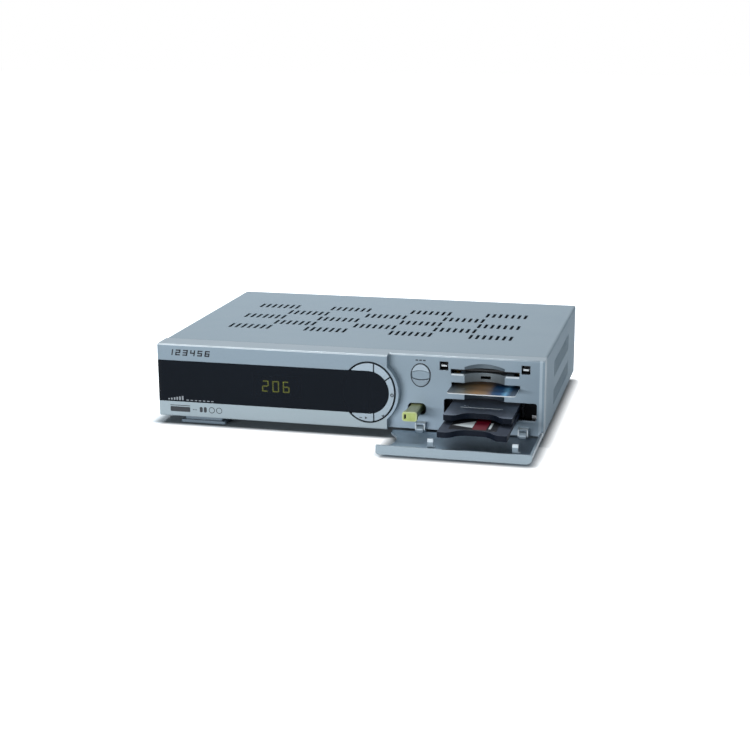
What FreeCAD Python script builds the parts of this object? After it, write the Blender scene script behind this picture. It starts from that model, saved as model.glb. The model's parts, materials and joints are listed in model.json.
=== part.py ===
"""Satellite television receiver, built as separate parts, in millimetres.

X runs left to right, Y front to back, Z up from the floor under the feet.
The working frame has x = 0 at the middle, y = 0 at the front face of the display block
and z = 0 at the floor. Every part is moved by one shift at export, so that the origin
is the bottom centre of the whole receiver with its door open.
"""
import FreeCAD
import Part
import math
import os

os.makedirs("parts", exist_ok=True)
V = FreeCAD.Vector

# case
WIDTH = 320.0
HALF = WIDTH / 2.0
DEPTH = 227.0
TOP_Z = 68.0
FOOT_H = 6.5
SHEET = 1.0
BEZEL_D = 20.5
WALL = 2.5
FIT = 0.3

# front: display block on the left, recessed panel behind the door on the right
STEP_X = HALF - 125.0
RECESS = 8.0
RING_X = STEP_X - 15.3
RING_Z = (TOP_Z + FOOT_H) / 2.0 - 0.55
WINDOW_RX = 16.8
WINDOW_R = 17.5
WINDOW_T = 2.6
GROOVE_RX = 22.6
GROOVE_RZ = 25.5
RIM_GAP = 1.4
BOSS_RX = 24.9
BOSS_RZ = 27.2
DOOR_ARC_RX = 28.4
DOOR_ARC_RZ = 29.5
WRAP_D = 12.0
WRAP_T = 1.5
RING_SPLIT_X = RING_X + 4.4
RING_SPLIT_DEG = 37.0
SPLIT_GAP = 1.0

# front board and press buttons
BOARD_T = 1.6
FRONT_BOARD_Y = 12.5
SWITCH_H = 1.7
PRESS = 0.8
BUTTON_X = STEP_X + 25.9
BUTTON_Z = TOP_Z - 16.7
BUTTON_RX = 7.7
BUTTON_RZ = 9.3
BUTTON_LINE = 0.6
CAP_LIFT = 6.2

# display
DIGIT_H = 9.4
DIGIT_W = 4.7
DIGIT_PITCH = 8.9
DIGIT_X = -59.1
DIGIT_Z = RING_Z - 0.7
STROKE = 0.9

# cards and modules share one centre line
CARD_X = HALF - 46.7
CARD_W = 54.0
CARD_L = 85.6
CARD_T = 0.8
CARD_FRONT = -15.7
CARD_TRAVEL = 20.0
SLOT_W = 55.0
SLOT_H = 3.6
SLOT_LIFT = 0.9
UPPER_SLOT_X = CARD_X - 0.6
UPPER_SLOT_Z = TOP_Z - 12.1
MODULE_L = 100.0
MODULE_T = 4.4
UPPER_Z = 25.9
UPPER_FRONT = -29.0
UPPER_TRAVEL = 34.5
LOWER_Z = 19.3
LOWER_FRONT = -54.0
LOWER_TRAVEL = 107.0
GUIDE_GAP = 0.3
CAGE_Y = 22.0
CI_X0 = CARD_X - 33.4
CI_X1 = CARD_X + 41.1
CI_Z0 = 18.5
CI_Z1 = 33.1
CARD_Z = (UPPER_SLOT_Z + CI_Z1 - 1.4) / 2.0
SCOOP_X = CARD_X - 0.9
SCOOP_W = 32.5
SCOOP_D = 7.5

# stick in the round hole
STICK_X = STEP_X + 22.3
STICK_Z = 23.5
STICK_W = 12.4
STICK_H = 7.9
STICK_FRONT = -17.5
STICK_L = 40.0
PLUG_L = 12.0
PLUG_W = 12.0
PLUG_H = 4.5
STICK_TRAVEL = 21.5
PORT_X = STICK_X + 0.5
PORT_Z = STICK_Z - 0.2
PORT_W = 14.8
PORT_H = 9.4
PORT_R = 3.4

# door, hinged along the bottom of the recessed panel
DOOR_X0 = STEP_X + 4.2
DOOR_T = 2.0
LIP = 7.3
OUTER_Z = 3.5
HINGE_Z = 7.5
HINGE_Y = HINGE_Z - OUTER_Z
PIN_R = 1.0
CHEEK_R = 1.7
CHEEK_T = 1.3
BRACKET_HALF = 4.2
KNUCKLE_R = 3.4
SIDE_GAP = 0.15
CATCH_X = CARD_X - 0.9
CATCH_OFFSET = 32.7
CATCH_HALF = 3.5
CATCH_Z = TOP_Z - 8.1
HOOK_SHIFT = 1.1
HOOK_Z = TOP_Z - 6.4
HOOK_TIP_Z = 16.8

# boards
STAND_H = 6.0
MAIN_Z = FOOT_H + SHEET + STAND_H
MAIN_TOP = MAIN_Z + BOARD_T
SCREW_R = 1.5
HEAD_R = 2.8
HEAD_H = 1.8
CAN_T = 0.8

# rear connectors
PANEL_Y = DEPTH - SHEET
F_R = 4.76
AERIAL_STEP = 1.0
F_LEN = 10.0
REAR_END = DEPTH + F_LEN

FRONT_END = HINGE_Y - (TOP_Z - HINGE_Z)
SHIFT = V(0.0, -(FRONT_END + REAR_END) / 2.0, 0.0)
HINGE_XS = (CARD_X - 51.7, CARD_X + 31.2)
CATCH_XS = (CATCH_X - CATCH_OFFSET, CATCH_X + CATCH_OFFSET)


def box(x0, x1, y0, y1, z0, z1):
    return Part.makeBox(x1 - x0, y1 - y0, z1 - z0, V(x0, y0, z0))


def rod_x(x0, x1, y, z, r):
    return Part.makeCylinder(r, x1 - x0, V(x0, y, z), V(1, 0, 0))


def rod_y(x, y0, y1, z, r):
    return Part.makeCylinder(r, y1 - y0, V(x, y0, z), V(0, 1, 0))


def rod_z(x, y, z0, z1, r):
    return Part.makeCylinder(r, z1 - z0, V(x, y, z0), V(0, 0, 1))


def oval_y(x, y0, y1, z, rx, rz):
    """Upright oval drawn out along Y."""
    curve = Part.Ellipse(V(x, y0, z + rz), V(x + rx, y0, z), V(x, y0, z)).toShape()
    return Part.Face(Part.Wire(curve)).extrude(V(0, y1 - y0, 0))


def oval_z(x, y, z0, z1, rx, ry):
    """Lying oval, longer along Y, drawn out along Z."""
    curve = Part.Ellipse(V(x, y + ry, z0), V(x + rx, y, z0), V(x, y, z0)).toShape()
    return Part.Face(Part.Wire(curve)).extrude(V(0, 0, z1 - z0))


def joined(shapes):
    first = shapes[0]
    if len(shapes) == 1:
        return first
    return first.fuse(shapes[1:]).removeSplitter()


def prism_x(points, x0, x1):
    """Closed polygon of (y, z) points drawn out along X."""
    wire = Part.makePolygon([V(x0, y, z) for y, z in points + points[:1]])
    return Part.Face(wire).extrude(V(x1 - x0, 0, 0))


def prism_z(points, z0, z1):
    """Closed polygon of (x, y) points drawn out along Z."""
    wire = Part.makePolygon([V(x, y, z0) for x, y in points + points[:1]])
    return Part.Face(wire).extrude(V(0, 0, z1 - z0))


def rounded_y(x0, x1, y0, y1, z0, z1, r):
    """Box with its four edges along Y rounded."""
    body = box(x0, x1, y0, y1, z0, z1)
    edges = [e for e in body.Edges if abs(e.tangentAt(0).y) > 0.9]
    return body.makeFillet(r, edges)


def rounded_z(x0, x1, y0, y1, z0, z1, r):
    """Box with its four edges along Z rounded."""
    body = box(x0, x1, y0, y1, z0, z1)
    edges = [e for e in body.Edges if abs(e.tangentAt(0).z) > 0.9]
    return body.makeFillet(r, edges)


def save(name, shape):
    moved = shape.copy()
    moved.translate(SHIFT)
    moved.exportStep("parts/" + name + ".step")


def save_many(name, solids):
    save(name, Part.makeCompound(solids))


def window_band(grow, y0, y1):
    """The display band: straight from the left side, round at its right end."""
    r = WINDOW_R + grow
    band = box(-HALF - 5, RING_X, y0, y1, RING_Z - r, RING_Z + r)
    return band.fuse(oval_y(RING_X, y0, y1, RING_Z, WINDOW_RX + grow, r)).removeSplitter()


def channel_cap(up, y0, y1, grow):
    """Crescent cap in the upper or lower end of the oval; grow widens it all round."""
    oval = oval_y(BUTTON_X, y0, y1, BUTTON_Z, BUTTON_RX - FIT + grow, BUTTON_RZ - FIT + grow)
    side = 1 if up else -1
    middle = rod_y(BUTTON_X, y0 - 1, y1 + 1, BUTTON_Z - side * 14.0, 18.0 - grow)
    far = box(BUTTON_X - 12, BUTTON_X + 12, y0 - 1, y1 + 1, BUTTON_Z - 12 * (side > 0),
              BUTTON_Z + 12 * (side < 0))
    return oval.cut([middle, far])


# positions shared between parts
def ring_place(angle):
    """Point on the middle line of the ring of buttons."""
    a = math.radians(angle)
    return (RING_X + (WINDOW_RX + GROOVE_RX - RIM_GAP) / 2.0 * math.cos(a),
            RING_Z + (WINDOW_R + GROOVE_RZ - RIM_GAP) / 2.0 * math.sin(a))


RING_STEMS = {
    "ring_button_top": [ring_place(105)],
    "ring_button_upper": [ring_place(62)],
    "ring_button_right": [ring_place(-5), ring_place(-55)],
    "ring_button_bottom": [ring_place(-105)],
}
SWITCH_Y = FRONT_BOARD_Y - SWITCH_H
STEM_END = SWITCH_Y - PRESS - 0.2
BOARD_POSTS = [(x, z) for x in (30.0 - HALF, RING_X - 41.7) for z in (13.0, TOP_Z - 7.0)]
BEZEL_POSTS = [(12.0 - HALF, 14.0), (90.0 - HALF, 13.0), (STEP_X - 7.0, 12.0), (HALF - 6.0, 14.0)]
FOOT_X = HALF - 37.0
FEET = [(-FOOT_X, 3.0), (FOOT_X, 10.0), (-FOOT_X, DEPTH - 39.0), (FOOT_X, DEPTH - 39.0)]
FOOT_W = 39.0
FOOT_D = 28.0
FOOT_SCREW = 23.5
BACK_Y = DEPTH - 22.0
MAIN_X0 = 80.0 - HALF
MAIN_STANDS = [(MAIN_X0 + 6.0, 56.0), (CARD_X - 43.3, 56.0), (MAIN_X0 + 6.0, BACK_Y - 7.0),
               (78.0, BACK_Y), (HALF - 14.0, BACK_Y)]
POWER_X0 = 8.0 - HALF
POWER_STANDS = [(POWER_X0 + dx, y) for dx in (6.0, 62.0) for y in (68.0, BACK_Y - 7.0)]
COVER_SCREWS = [(x, TOP_Z - 3.5) for x in (-50.0, 0.0, 50.0)]
PANEL_SCREWS = [(6.0 - HALF, 12.0), (-40.0, 11.5), (70.0, 11.5), (HALF - 6.0, 12.0)]
F_PLACES = [(35.0, 40.0), (60.0, 40.0)]
AERIAL_PLACES = [(96.0, 45.0), (118.0, 45.0)]
RCA_PLACES = [(x, z) for x in (-10.0, 8.0) for z in (21.5, 35.0, 48.5)]
INLET_X = 26.0 - HALF
SWITCH_X = 56.0 - HALF
SCART_Z = (18.0, 40.0)
SCART_X = (-78.0, -30.0)
SCART_H = 13.0


def chassis_tray():
    inner = HALF - SHEET
    floor_z = FOOT_H + SHEET
    floor = box(-inner, inner, BEZEL_D, PANEL_Y, FOOT_H, floor_z)
    sides = [box(s * inner - (SHEET if s > 0 else 0), s * inner + (0 if s > 0 else SHEET),
                 BEZEL_D, PANEL_Y, floor_z, 19.0) for s in (-1, 1)]
    front = [box(-inner + SHEET, 31.0, BEZEL_D, BEZEL_D + SHEET, floor_z, 20.0),
             box(HALF - 11.0, inner - SHEET, BEZEL_D, BEZEL_D + SHEET, floor_z, 20.0)]
    rear = box(-inner + SHEET, inner - SHEET, PANEL_Y - SHEET, PANEL_Y, floor_z, MAIN_TOP - 0.3)
    tray = joined([floor, rear] + sides + front)
    holes = [rod_y(x, BEZEL_D - 1, BEZEL_D + 2, z, SCREW_R) for x, z in BEZEL_POSTS]
    holes += [rod_y(x, PANEL_Y - 2, PANEL_Y + 1, z, SCREW_R) for x, z in PANEL_SCREWS]
    holes += [rod_z(x, y + FOOT_SCREW, 0, 10, SCREW_R) for x, y in FEET]
    for i in range(7):
        for j in range(5):
            x = 22.0 - HALF + 14.0 * i
            y = 88.0 + 20.0 * j
            holes.append(box(x - 5, x + 5, y - 1.2, y + 1.2, 0, 10))
    return tray.cut(holes)


def rear_panel():
    inner = HALF - SHEET - 0.1
    plate = box(-inner, inner, PANEL_Y, DEPTH, FOOT_H, TOP_Z - SHEET)
    y0, y1 = PANEL_Y - 1, DEPTH + 1
    cuts = [rod_y(x, y0, y1, z, F_R + 0.04) for x, z in F_PLACES]
    cuts += [rod_y(x, y0, y1, z, 4.8) for x, z in AERIAL_PLACES]
    cuts += [rod_y(x, y0, y1, z, 5.3) for x, z in RCA_PLACES]
    cuts += [box(SCART_X[0] - 0.2, SCART_X[1] + 0.2, y0, y1, z - 0.2, z + SCART_H + 0.2) for z in SCART_Z]
    cuts += [box(INLET_X - 12.2, INLET_X + 12.2, y0, y1, 23.8, 42.2),
             box(SWITCH_X - 9.2, SWITCH_X + 9.2, y0, y1, 24.8, 41.2)]
    cuts += [box(87.3, 104.7, y0, y1, 19.3, 28.7), box(119.8, 130.2, y0, y1, 19.3, 29.7)]
    cuts += [rod_y(x, y0, y1, z, SCREW_R) for x, z in PANEL_SCREWS + COVER_SCREWS]
    cuts += [rod_y(x, y0, y1, 24.0, SCREW_R) for x in (83.5, 108.5)]
    for i in range(9):
        for j in range(4):
            x, z = POWER_X0 + 8.0 * i, TOP_Z - 21.0 + 4.2 * j
            cuts.append(box(x, x + 5, y0, y1, z, z + 2))
    return plate.cut(cuts)


def top_cover():
    shell = box(-HALF, HALF, BEZEL_D, DEPTH + SHEET, FOOT_H, TOP_Z)
    shell = shell.makeFillet(2.0, [e for e in shell.Edges
                                   if abs(e.tangentAt(0).y) > 0.9 and e.CenterOfMass.z > TOP_Z - 1])
    inner = box(-HALF + SHEET, HALF - SHEET, BEZEL_D - 1, DEPTH, FOOT_H - 1, TOP_Z - SHEET)
    open_rear = box(-HALF + SHEET, HALF - SHEET, DEPTH - 1, DEPTH + 2, FOOT_H - 1, TOP_Z - 5.5)
    cover = shell.cut([inner, open_rear])
    cuts = [box(-HALF - 1, -66.0, DEPTH, DEPTH + 2, 0, TOP_Z - SHEET),
            box(66.0, HALF + 1, DEPTH, DEPTH + 2, 0, TOP_Z - SHEET)]
    cuts += [rod_y(x, DEPTH - 1, DEPTH + 2, z, SCREW_R) for x, z in COVER_SCREWS]
    for row, y in enumerate((167.5, 144.1, 122.9, 101.8, 80.6)):
        for start in (-122.7, -55.1, 19.6, 88.3) if row % 2 == 0 else (-88.5, -16.7, 53.8):
            for i in range(7):
                x = start + 5.65 * i
                cuts.append(rounded_z(x - 1.25, x + 1.25, y - 8.2, y + 8.2, TOP_Z - 2, TOP_Z + 1, 1.1))
    for side in (-1, 1):
        for z0, z1 in ((15.9, 29.1), (TOP_Z - 28.6, TOP_Z - 14.5)):
            for i in range(22):
                y = 72.0 + 4.8 * i
                x0, x1 = sorted((side * (HALF - 2), side * (HALF + 1)))
                cuts.append(box(x0, x1, y - 1.1, y + 1.1, z0, z1))
    return cover.cut(cuts)


def scoop(y_back):
    """Finger scoop: a vertical round hollow under an arched top."""
    half = SCOOP_W / 2.0
    r = (half ** 2 + SCOOP_D ** 2) / (2 * SCOOP_D)
    hollow = rod_z(SCOOP_X, RECESS + SCOOP_D - r, CI_Z0, TOP_Z - 4.8, r)
    ends, top = TOP_Z - 8.3, TOP_Z - 5.0
    rise = top - ends
    arch_r = (half ** 2 + rise ** 2) / (2 * rise)
    arch = rod_y(SCOOP_X, RECESS - 4, y_back, top - arch_r, arch_r)
    window = box(SCOOP_X - half, SCOOP_X + half, RECESS - 4, y_back, CI_Z1 - 4, top)
    return hollow.common(window).common(arch)


def hinge_bracket(x):
    """Bracket on the panel that holds one hinge pin between two cheeks under a small roof."""
    top = 13.0
    parts = [box(x - BRACKET_HALF, x + BRACKET_HALF, 2.6, RECESS + 0.5, top - 1.5, top)]
    for side in (-1, 1):
        x0, x1 = sorted((x + side * BRACKET_HALF, x + side * (BRACKET_HALF - CHEEK_T)))
        parts.append(rod_x(x0, x1, HINGE_Y, HINGE_Z, CHEEK_R))
        parts.append(box(x0, x1, HINGE_Y - CHEEK_R, RECESS + 0.5, HINGE_Z, top))
    return joined(parts)


def front_bezel():
    z0, z1 = FOOT_H, TOP_Z
    outer = joined([box(-HALF, STEP_X, 0, BEZEL_D, z0, z1), box(STEP_X, HALF, RECESS, BEZEL_D, z0, z1)])
    long_edges = [e for e in outer.Edges if abs(e.tangentAt(0).x) > 0.9
                  and (e.CenterOfMass.y < 1 or (e.CenterOfMass.y < RECESS + 1 and e.CenterOfMass.z > z1 - 1))]
    low_corner = [e for e in outer.Edges if abs(e.tangentAt(0).y) > 0.9
                  and e.CenterOfMass.x < 1 - HALF and e.CenterOfMass.z < z0 + 1]
    outer = outer.makeFillet(1.2, long_edges + low_corner)
    left = box(-HALF + WALL, STEP_X - WALL, WALL, BEZEL_D + 1, z0 + WALL, z1 - WALL)
    right = box(STEP_X - WALL - 1, HALF - WALL, RECESS + WALL, BEZEL_D + 1, z0 + WALL, z1 - WALL)
    body = outer.cut([left, right])
    shelf_back = WINDOW_T + WALL
    adds = [box(-HALF + WRAP_T, RING_X, WINDOW_T - 0.1, shelf_back, RING_Z - WINDOW_R - 2.5,
                RING_Z + WINDOW_R + 2.5),
            oval_y(RING_X, WINDOW_T - 0.1, shelf_back, RING_Z, WINDOW_RX, WINDOW_R),
            oval_y(RING_X, 0, RECESS + WALL, RING_Z, BOSS_RX, BOSS_RZ),
            box(CARD_X - 21, CARD_X + 21, RECESS, RECESS + SCOOP_D + 2.0, CI_Z1 - 2.0, z1 - 1)]
    adds += [rod_y(x, 1.0, FRONT_BOARD_Y, z, 2.6) for x, z in BOARD_POSTS]
    adds += [rod_y(x, 1.0 if x < STEP_X else RECESS + 1, BEZEL_D, z, 3.2) for x, z in BEZEL_POSTS]
    adds += [hinge_bracket(x) for x in HINGE_XS]
    body = body.fuse(adds).removeSplitter()
    ring_open = oval_y(RING_X, -1, BEZEL_D + 1, RING_Z, GROOVE_RX, GROOVE_RZ)
    ring_open = ring_open.cut(window_band(0, -2, BEZEL_D + 2))
    behind = oval_y(RING_X, shelf_back, BEZEL_D + 1, RING_Z, GROOVE_RX, GROOVE_RZ)
    cuts = [ring_open, behind, window_band(0, -1, WINDOW_T)]
    cuts.append(box(-HALF - 1, -HALF + WRAP_T, -1, WRAP_D, RING_Z - WINDOW_R, RING_Z + WINDOW_R))
    cuts.append(box(DIGIT_X - 19, DIGIT_X + 22, -1, 8, DIGIT_Z - 9, DIGIT_Z + 9))
    line = oval_y(BUTTON_X, RECESS - 1, RECESS + 1.2, BUTTON_Z, BUTTON_RX, BUTTON_RZ)
    cuts.append(line.cut(oval_y(BUTTON_X, 0, 12, BUTTON_Z, BUTTON_RX - BUTTON_LINE, BUTTON_RZ - BUTTON_LINE)))
    cuts += [channel_cap(up, 0, 12, 0.45) for up in (True, False)]
    cuts.append(port(0, 12, 0))
    for x, z in ((CARD_X, READER_Z + SLOT_LIFT), (UPPER_SLOT_X, UPPER_SLOT_Z)):
        cuts.append(box(x - SLOT_W / 2, x + SLOT_W / 2, 0, BEZEL_D, z - SLOT_H / 2, z + SLOT_H / 2))
    low = UPPER_SLOT_Z - SLOT_H / 2
    cuts.append(prism_x([(RECESS - 0.1, low - 1.7), (RECESS - 0.1, low + 0.1), (RECESS + 1.8, low + 0.1)],
                        UPPER_SLOT_X - SLOT_W / 2, UPPER_SLOT_X + SLOT_W / 2))
    cuts.append(scoop(BEZEL_D - 1))
    cuts.append(box(SCOOP_X - 4.2, SCOOP_X + 3.8, 10, BEZEL_D,
                    UPPER_SLOT_Z - 6.9, UPPER_SLOT_Z - 4.6))
    cuts.append(rounded_y(CI_X0, CI_X1, 0, BEZEL_D + 1, CI_Z0, CI_Z1, 2.0))
    cuts.append(prism_x([(RECESS - 0.1, CI_Z0 - 0.9), (RECESS - 0.1, CI_Z0 + 0.1), (RECESS + 0.9, CI_Z0 + 0.1)],
                        CI_X0 + 2, CI_X1 - 2))
    cuts += [box(x - CATCH_HALF, x + CATCH_HALF, 0, 12, CATCH_Z - CATCH_HALF, CATCH_Z + CATCH_HALF)
             for x in CATCH_XS]
    cuts += [rod_x(x - 5, x + 5, HINGE_Y, HINGE_Z, PIN_R + 0.05) for x in HINGE_XS]
    cuts += [rod_y(x, FRONT_BOARD_Y - 8, FRONT_BOARD_Y + 1, z, SCREW_R - 0.02) for x, z in BOARD_POSTS]
    cuts += [rod_y(x, BEZEL_D - 6.5, BEZEL_D + 1, z, SCREW_R - 0.02) for x, z in BEZEL_POSTS]
    return body.cut(cuts)


def display_window():
    band = window_band(-0.1, 0, WINDOW_T)
    band = band.common(box(-HALF, HALF, -1, 30, 0, TOP_Z))
    wrap = box(-HALF, -HALF + WRAP_T, 0, WRAP_D - 0.1, RING_Z - WINDOW_R + 0.1, RING_Z + WINDOW_R - 0.1)
    return band.fuse(wrap).removeSplitter()


def digit_segments(x, lit):
    """Seven segments of one digit, seen from the front; lit is a string of a to g."""
    y0, y1 = WINDOW_T + 0.15, WINDOW_T + 0.55
    w, h, s = DIGIT_W / 2.0, DIGIT_H / 2.0, STROKE / 2.0
    gap = 0.15
    places = {
        "a": (-w + s + gap, w - s - gap, h - 2 * s, h),
        "g": (-w + s + gap, w - s - gap, -s, s),
        "d": (-w + s + gap, w - s - gap, -h, -h + 2 * s),
        "f": (-w - s, -w + s, gap, h - gap),
        "b": (w - s, w + s, gap, h - gap),
        "e": (-w - s, -w + s, -h + gap, -gap),
        "c": (w - s, w + s, -h + gap, -gap),
    }
    solids = []
    for name in lit:
        x0, x1, z0, z1 = places[name]
        solids.append(box(x + x0, x + x1, y0, y1, DIGIT_Z + z0, DIGIT_Z + z1))
    return solids


def lit_digits():
    solids = []
    for i, lit in enumerate(("abged", "abcdef", "afgedc")):
        solids += digit_segments(DIGIT_X + (i - 1) * DIGIT_PITCH, lit)
    return solids


def display_module():
    return box(DIGIT_X - 17, DIGIT_X + 20, WINDOW_T + 0.55, FRONT_BOARD_Y, DIGIT_Z - 7, DIGIT_Z + 7)


def front_board():
    y0, y1 = FRONT_BOARD_Y, FRONT_BOARD_Y + BOARD_T
    board = box(20 - HALF, BUTTON_X + 12, y0, y1, 11.0, TOP_Z - 5)
    holes = [rod_y(x, y0 - 1, y1 + 1, z, SCREW_R) for x, z in BOARD_POSTS]
    holes.append(box(STICK_X - 12, STICK_X + 23, y0 - 1, y1 + 1, 0, STICK_Z + 8.5))
    holes += [rod_y(x, y0 - 1, y1 + 1, z, 3.6) for x, z in BEZEL_POSTS[1:3]]
    return board.cut(holes)


def channel_places():
    return [(BUTTON_X, BUTTON_Z + CAP_LIFT), (BUTTON_X, BUTTON_Z - CAP_LIFT)]


def button_switches():
    places = [p for stems in RING_STEMS.values() for p in stems] + channel_places()
    solids = []
    for x, z in places:
        base = box(x - 3, x + 3, SWITCH_Y + 0.5, FRONT_BOARD_Y, z - 3, z + 3)
        solids.append(base.fuse(rod_y(x, SWITCH_Y, SWITCH_Y + 0.6, z, 1.6)))
    return solids


def ring_buttons():
    ring = oval_y(RING_X, -0.3, 7.0, RING_Z, GROOVE_RX - RIM_GAP, GROOVE_RZ - RIM_GAP)
    ring = ring.cut(window_band(0.2, -2, 9))
    ring = ring.cut(box(RING_X - GROOVE_RX - 9, RING_X - 13.7, -2, 9, 0, TOP_Z))
    half = SPLIT_GAP / 2.0
    upright = box(RING_SPLIT_X - half, RING_SPLIT_X + half, -2, 9, 0, TOP_Z)
    slanted = box(0, GROOVE_RX + 9, -2, 9, -half, half)
    slanted.rotate(V(0, 0, 0), V(0, 1, 0), -RING_SPLIT_DEG)
    slanted.translate(V(RING_X, 0, RING_Z))
    pieces = ring.cut([upright, slanted]).Solids
    buttons = {}
    for name, stems in RING_STEMS.items():
        near = min(pieces, key=lambda s: abs(s.CenterOfMass.x - stems[0][0])
                   + abs(s.CenterOfMass.z - stems[0][1]))
        parts = [near] + [rod_y(x, 6.0, STEM_END, z, 1.6) for x, z in stems]
        buttons[name] = joined(parts)
    return buttons


def channel_button(up):
    return channel_cap(up, RECESS - 0.8, STEM_END, 0)


def port(y0, y1, grow):
    """The rounded opening for the stick; grow widens it all round."""
    w, h = PORT_W / 2 + grow, PORT_H / 2 + grow
    return rounded_y(PORT_X - w, PORT_X + w, y0, y1, PORT_Z - h, PORT_Z + h, PORT_R + grow)


def usb_guide():
    y0 = RECESS + WALL
    length = STICK_FRONT + STICK_L + STICK_TRAVEL + 0.3
    tube = port(y0, length, 1.2)
    flange = box(PORT_X - 9, PORT_X + 9, y0, y0 + 1.5, PORT_Z - 7.4, PORT_Z + 7.4)
    return tube.fuse(flange).removeSplitter().cut(port(y0 - 1, 90, 0))


def usb_socket():
    y0 = STICK_FRONT + STICK_L + STICK_TRAVEL + 0.6
    body = box(STICK_X - 7.5, STICK_X + 7.5, y0, y0 + 18, MAIN_TOP, STICK_Z + 4.0)
    body = body.fuse(box(STICK_X - 7.5, STICK_X + 7.5, y0 + 2, y0 + 18, MAIN_TOP, STICK_Z))
    return body.cut(box(STICK_X - PLUG_W / 2 - FIT, STICK_X + PLUG_W / 2 + FIT, y0 - 1,
                        y0 + PLUG_L + 1, STICK_Z - PLUG_H / 2 - FIT, STICK_Z + PLUG_H / 2 + FIT))


def usb_stick():
    body = rounded_y(STICK_X - STICK_W / 2, STICK_X + STICK_W / 2, STICK_FRONT, STICK_FRONT + STICK_L,
                     STICK_Z - STICK_H / 2, STICK_Z + STICK_H / 2, 2.2)
    eye = box(STICK_X - 4.4, STICK_X - 2.8, STICK_FRONT - 1, STICK_FRONT + 2.5, STICK_Z - 1.7, STICK_Z + 1.7)
    return body.cut(eye)


def usb_stick_plug():
    y0 = STICK_FRONT + STICK_L
    shell = box(STICK_X - PLUG_W / 2, STICK_X + PLUG_W / 2, y0, y0 + PLUG_L,
                STICK_Z - PLUG_H / 2, STICK_Z + PLUG_H / 2)
    mouth = box(STICK_X - PLUG_W / 2 + 0.4, STICK_X + PLUG_W / 2 - 0.4, y0 + 1, y0 + PLUG_L + 1,
                STICK_Z - 0.2, STICK_Z + PLUG_H / 2 - 0.4)
    return shell.cut(mouth)


def smart_card():
    x0, x1 = CARD_X - CARD_W / 2, CARD_X + CARD_W / 2
    y0, y1 = CARD_FRONT, CARD_FRONT + CARD_L
    card = rounded_z(x0, x1, y0, y1, CARD_Z, CARD_Z + CARD_T, 3.18)
    return card.cut(chip_block())


def chip_block():
    y1 = CARD_FRONT + CARD_L - 10.0
    return box(CARD_X + 2.0, CARD_X + 14.0, y1 - 13.0, y1, CARD_Z, CARD_Z + 0.3)


READER_HALF = 2.75


def card_reader(mid_x, mid_z):
    x0, x1 = mid_x - 30, mid_x + 30
    end = CARD_FRONT + CARD_L + CARD_TRAVEL
    body = box(x0, x1, CAGE_Y, end + 5, mid_z - READER_HALF, mid_z + READER_HALF)
    channel = box(mid_x - CARD_W / 2 - FIT, mid_x + CARD_W / 2 + FIT, CAGE_Y - 1, end + 1,
                  mid_z - CARD_T / 2 - FIT, mid_z + CARD_T / 2 + FIT)
    relief = box(mid_x - 18, mid_x + 18, CAGE_Y + 6, end - 14, mid_z, mid_z + 5)
    return body.cut([channel, relief])


READER_Z = CARD_Z + CARD_T / 2
READER_BOARD_Z = READER_Z - READER_HALF - BOARD_T
READER_PLACES = [(CARD_X + dx, y) for dx in (-26.0, 26.0) for y in (27.0, 86.0)]
CAGE_Z0 = LOWER_Z - GUIDE_GAP - 1.5
CAGE_Z1 = UPPER_Z + MODULE_T + GUIDE_GAP + 1.5
LOWER_END = LOWER_FRONT + MODULE_L + LOWER_TRAVEL
UPPER_END = UPPER_FRONT + MODULE_L + UPPER_TRAVEL


def reader_board():
    return box(CARD_X - 34, CARD_X + 34, CAGE_Y + 1, 98, READER_BOARD_Z, READER_BOARD_Z + BOARD_T)


def reader_standoffs():
    solids = [rod_z(x, y, CAGE_Z1, READER_BOARD_Z, 2.8) for x, y in READER_PLACES]
    return solids + [rod_z(x, y, READER_Z + READER_HALF, UPPER_SLOT_Z - READER_HALF, 2.8) for x, y in READER_PLACES]


def ci_cage():
    half = CARD_W / 2 + GUIDE_GAP
    body = box(CARD_X - half - 2, CARD_X + half + 2, CAGE_Y, LOWER_END + 14, CAGE_Z0, CAGE_Z1)
    lower = box(CARD_X - half, CARD_X + half, CAGE_Y - 1, LOWER_END + 15, LOWER_Z - GUIDE_GAP,
                LOWER_Z + MODULE_T + GUIDE_GAP)
    upper = box(CARD_X - half, CARD_X + half, CAGE_Y - 1, LOWER_END + 15, UPPER_Z - GUIDE_GAP,
                UPPER_Z + MODULE_T + GUIDE_GAP)
    cuts = [lower, upper]
    for i in range(4):
        y = 44.0 + 32.0 * i
        cuts.append(box(CARD_X - 20, CARD_X + 20, y, y + 22, CAGE_Z0 - 1, CAGE_Z1 + 1))
    body = body.cut(cuts)
    feet = []
    for side in (-1, 1):
        x0, x1 = sorted((CARD_X + side * (half + 0.2), CARD_X + side * (half + 2)))
        feet.append(box(x0, x1, CAGE_Y + 2, CAGE_Y + 8, FOOT_H + SHEET, CAGE_Z0 + 0.5))
        feet.append(box(x0, x1, LOWER_END, LOWER_END + 8, MAIN_TOP, CAGE_Z0 + 0.5))
    return body.fuse(feet).removeSplitter()


def ci_connectors():
    half = CARD_W / 2
    lower = box(CARD_X - half, CARD_X + half, LOWER_END + FIT, LOWER_END + 12, LOWER_Z, LOWER_Z + MODULE_T)
    upper = box(CARD_X - half, CARD_X + half, UPPER_END + FIT, UPPER_END + 12, UPPER_Z, UPPER_Z + MODULE_T)
    return [lower, upper]


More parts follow.
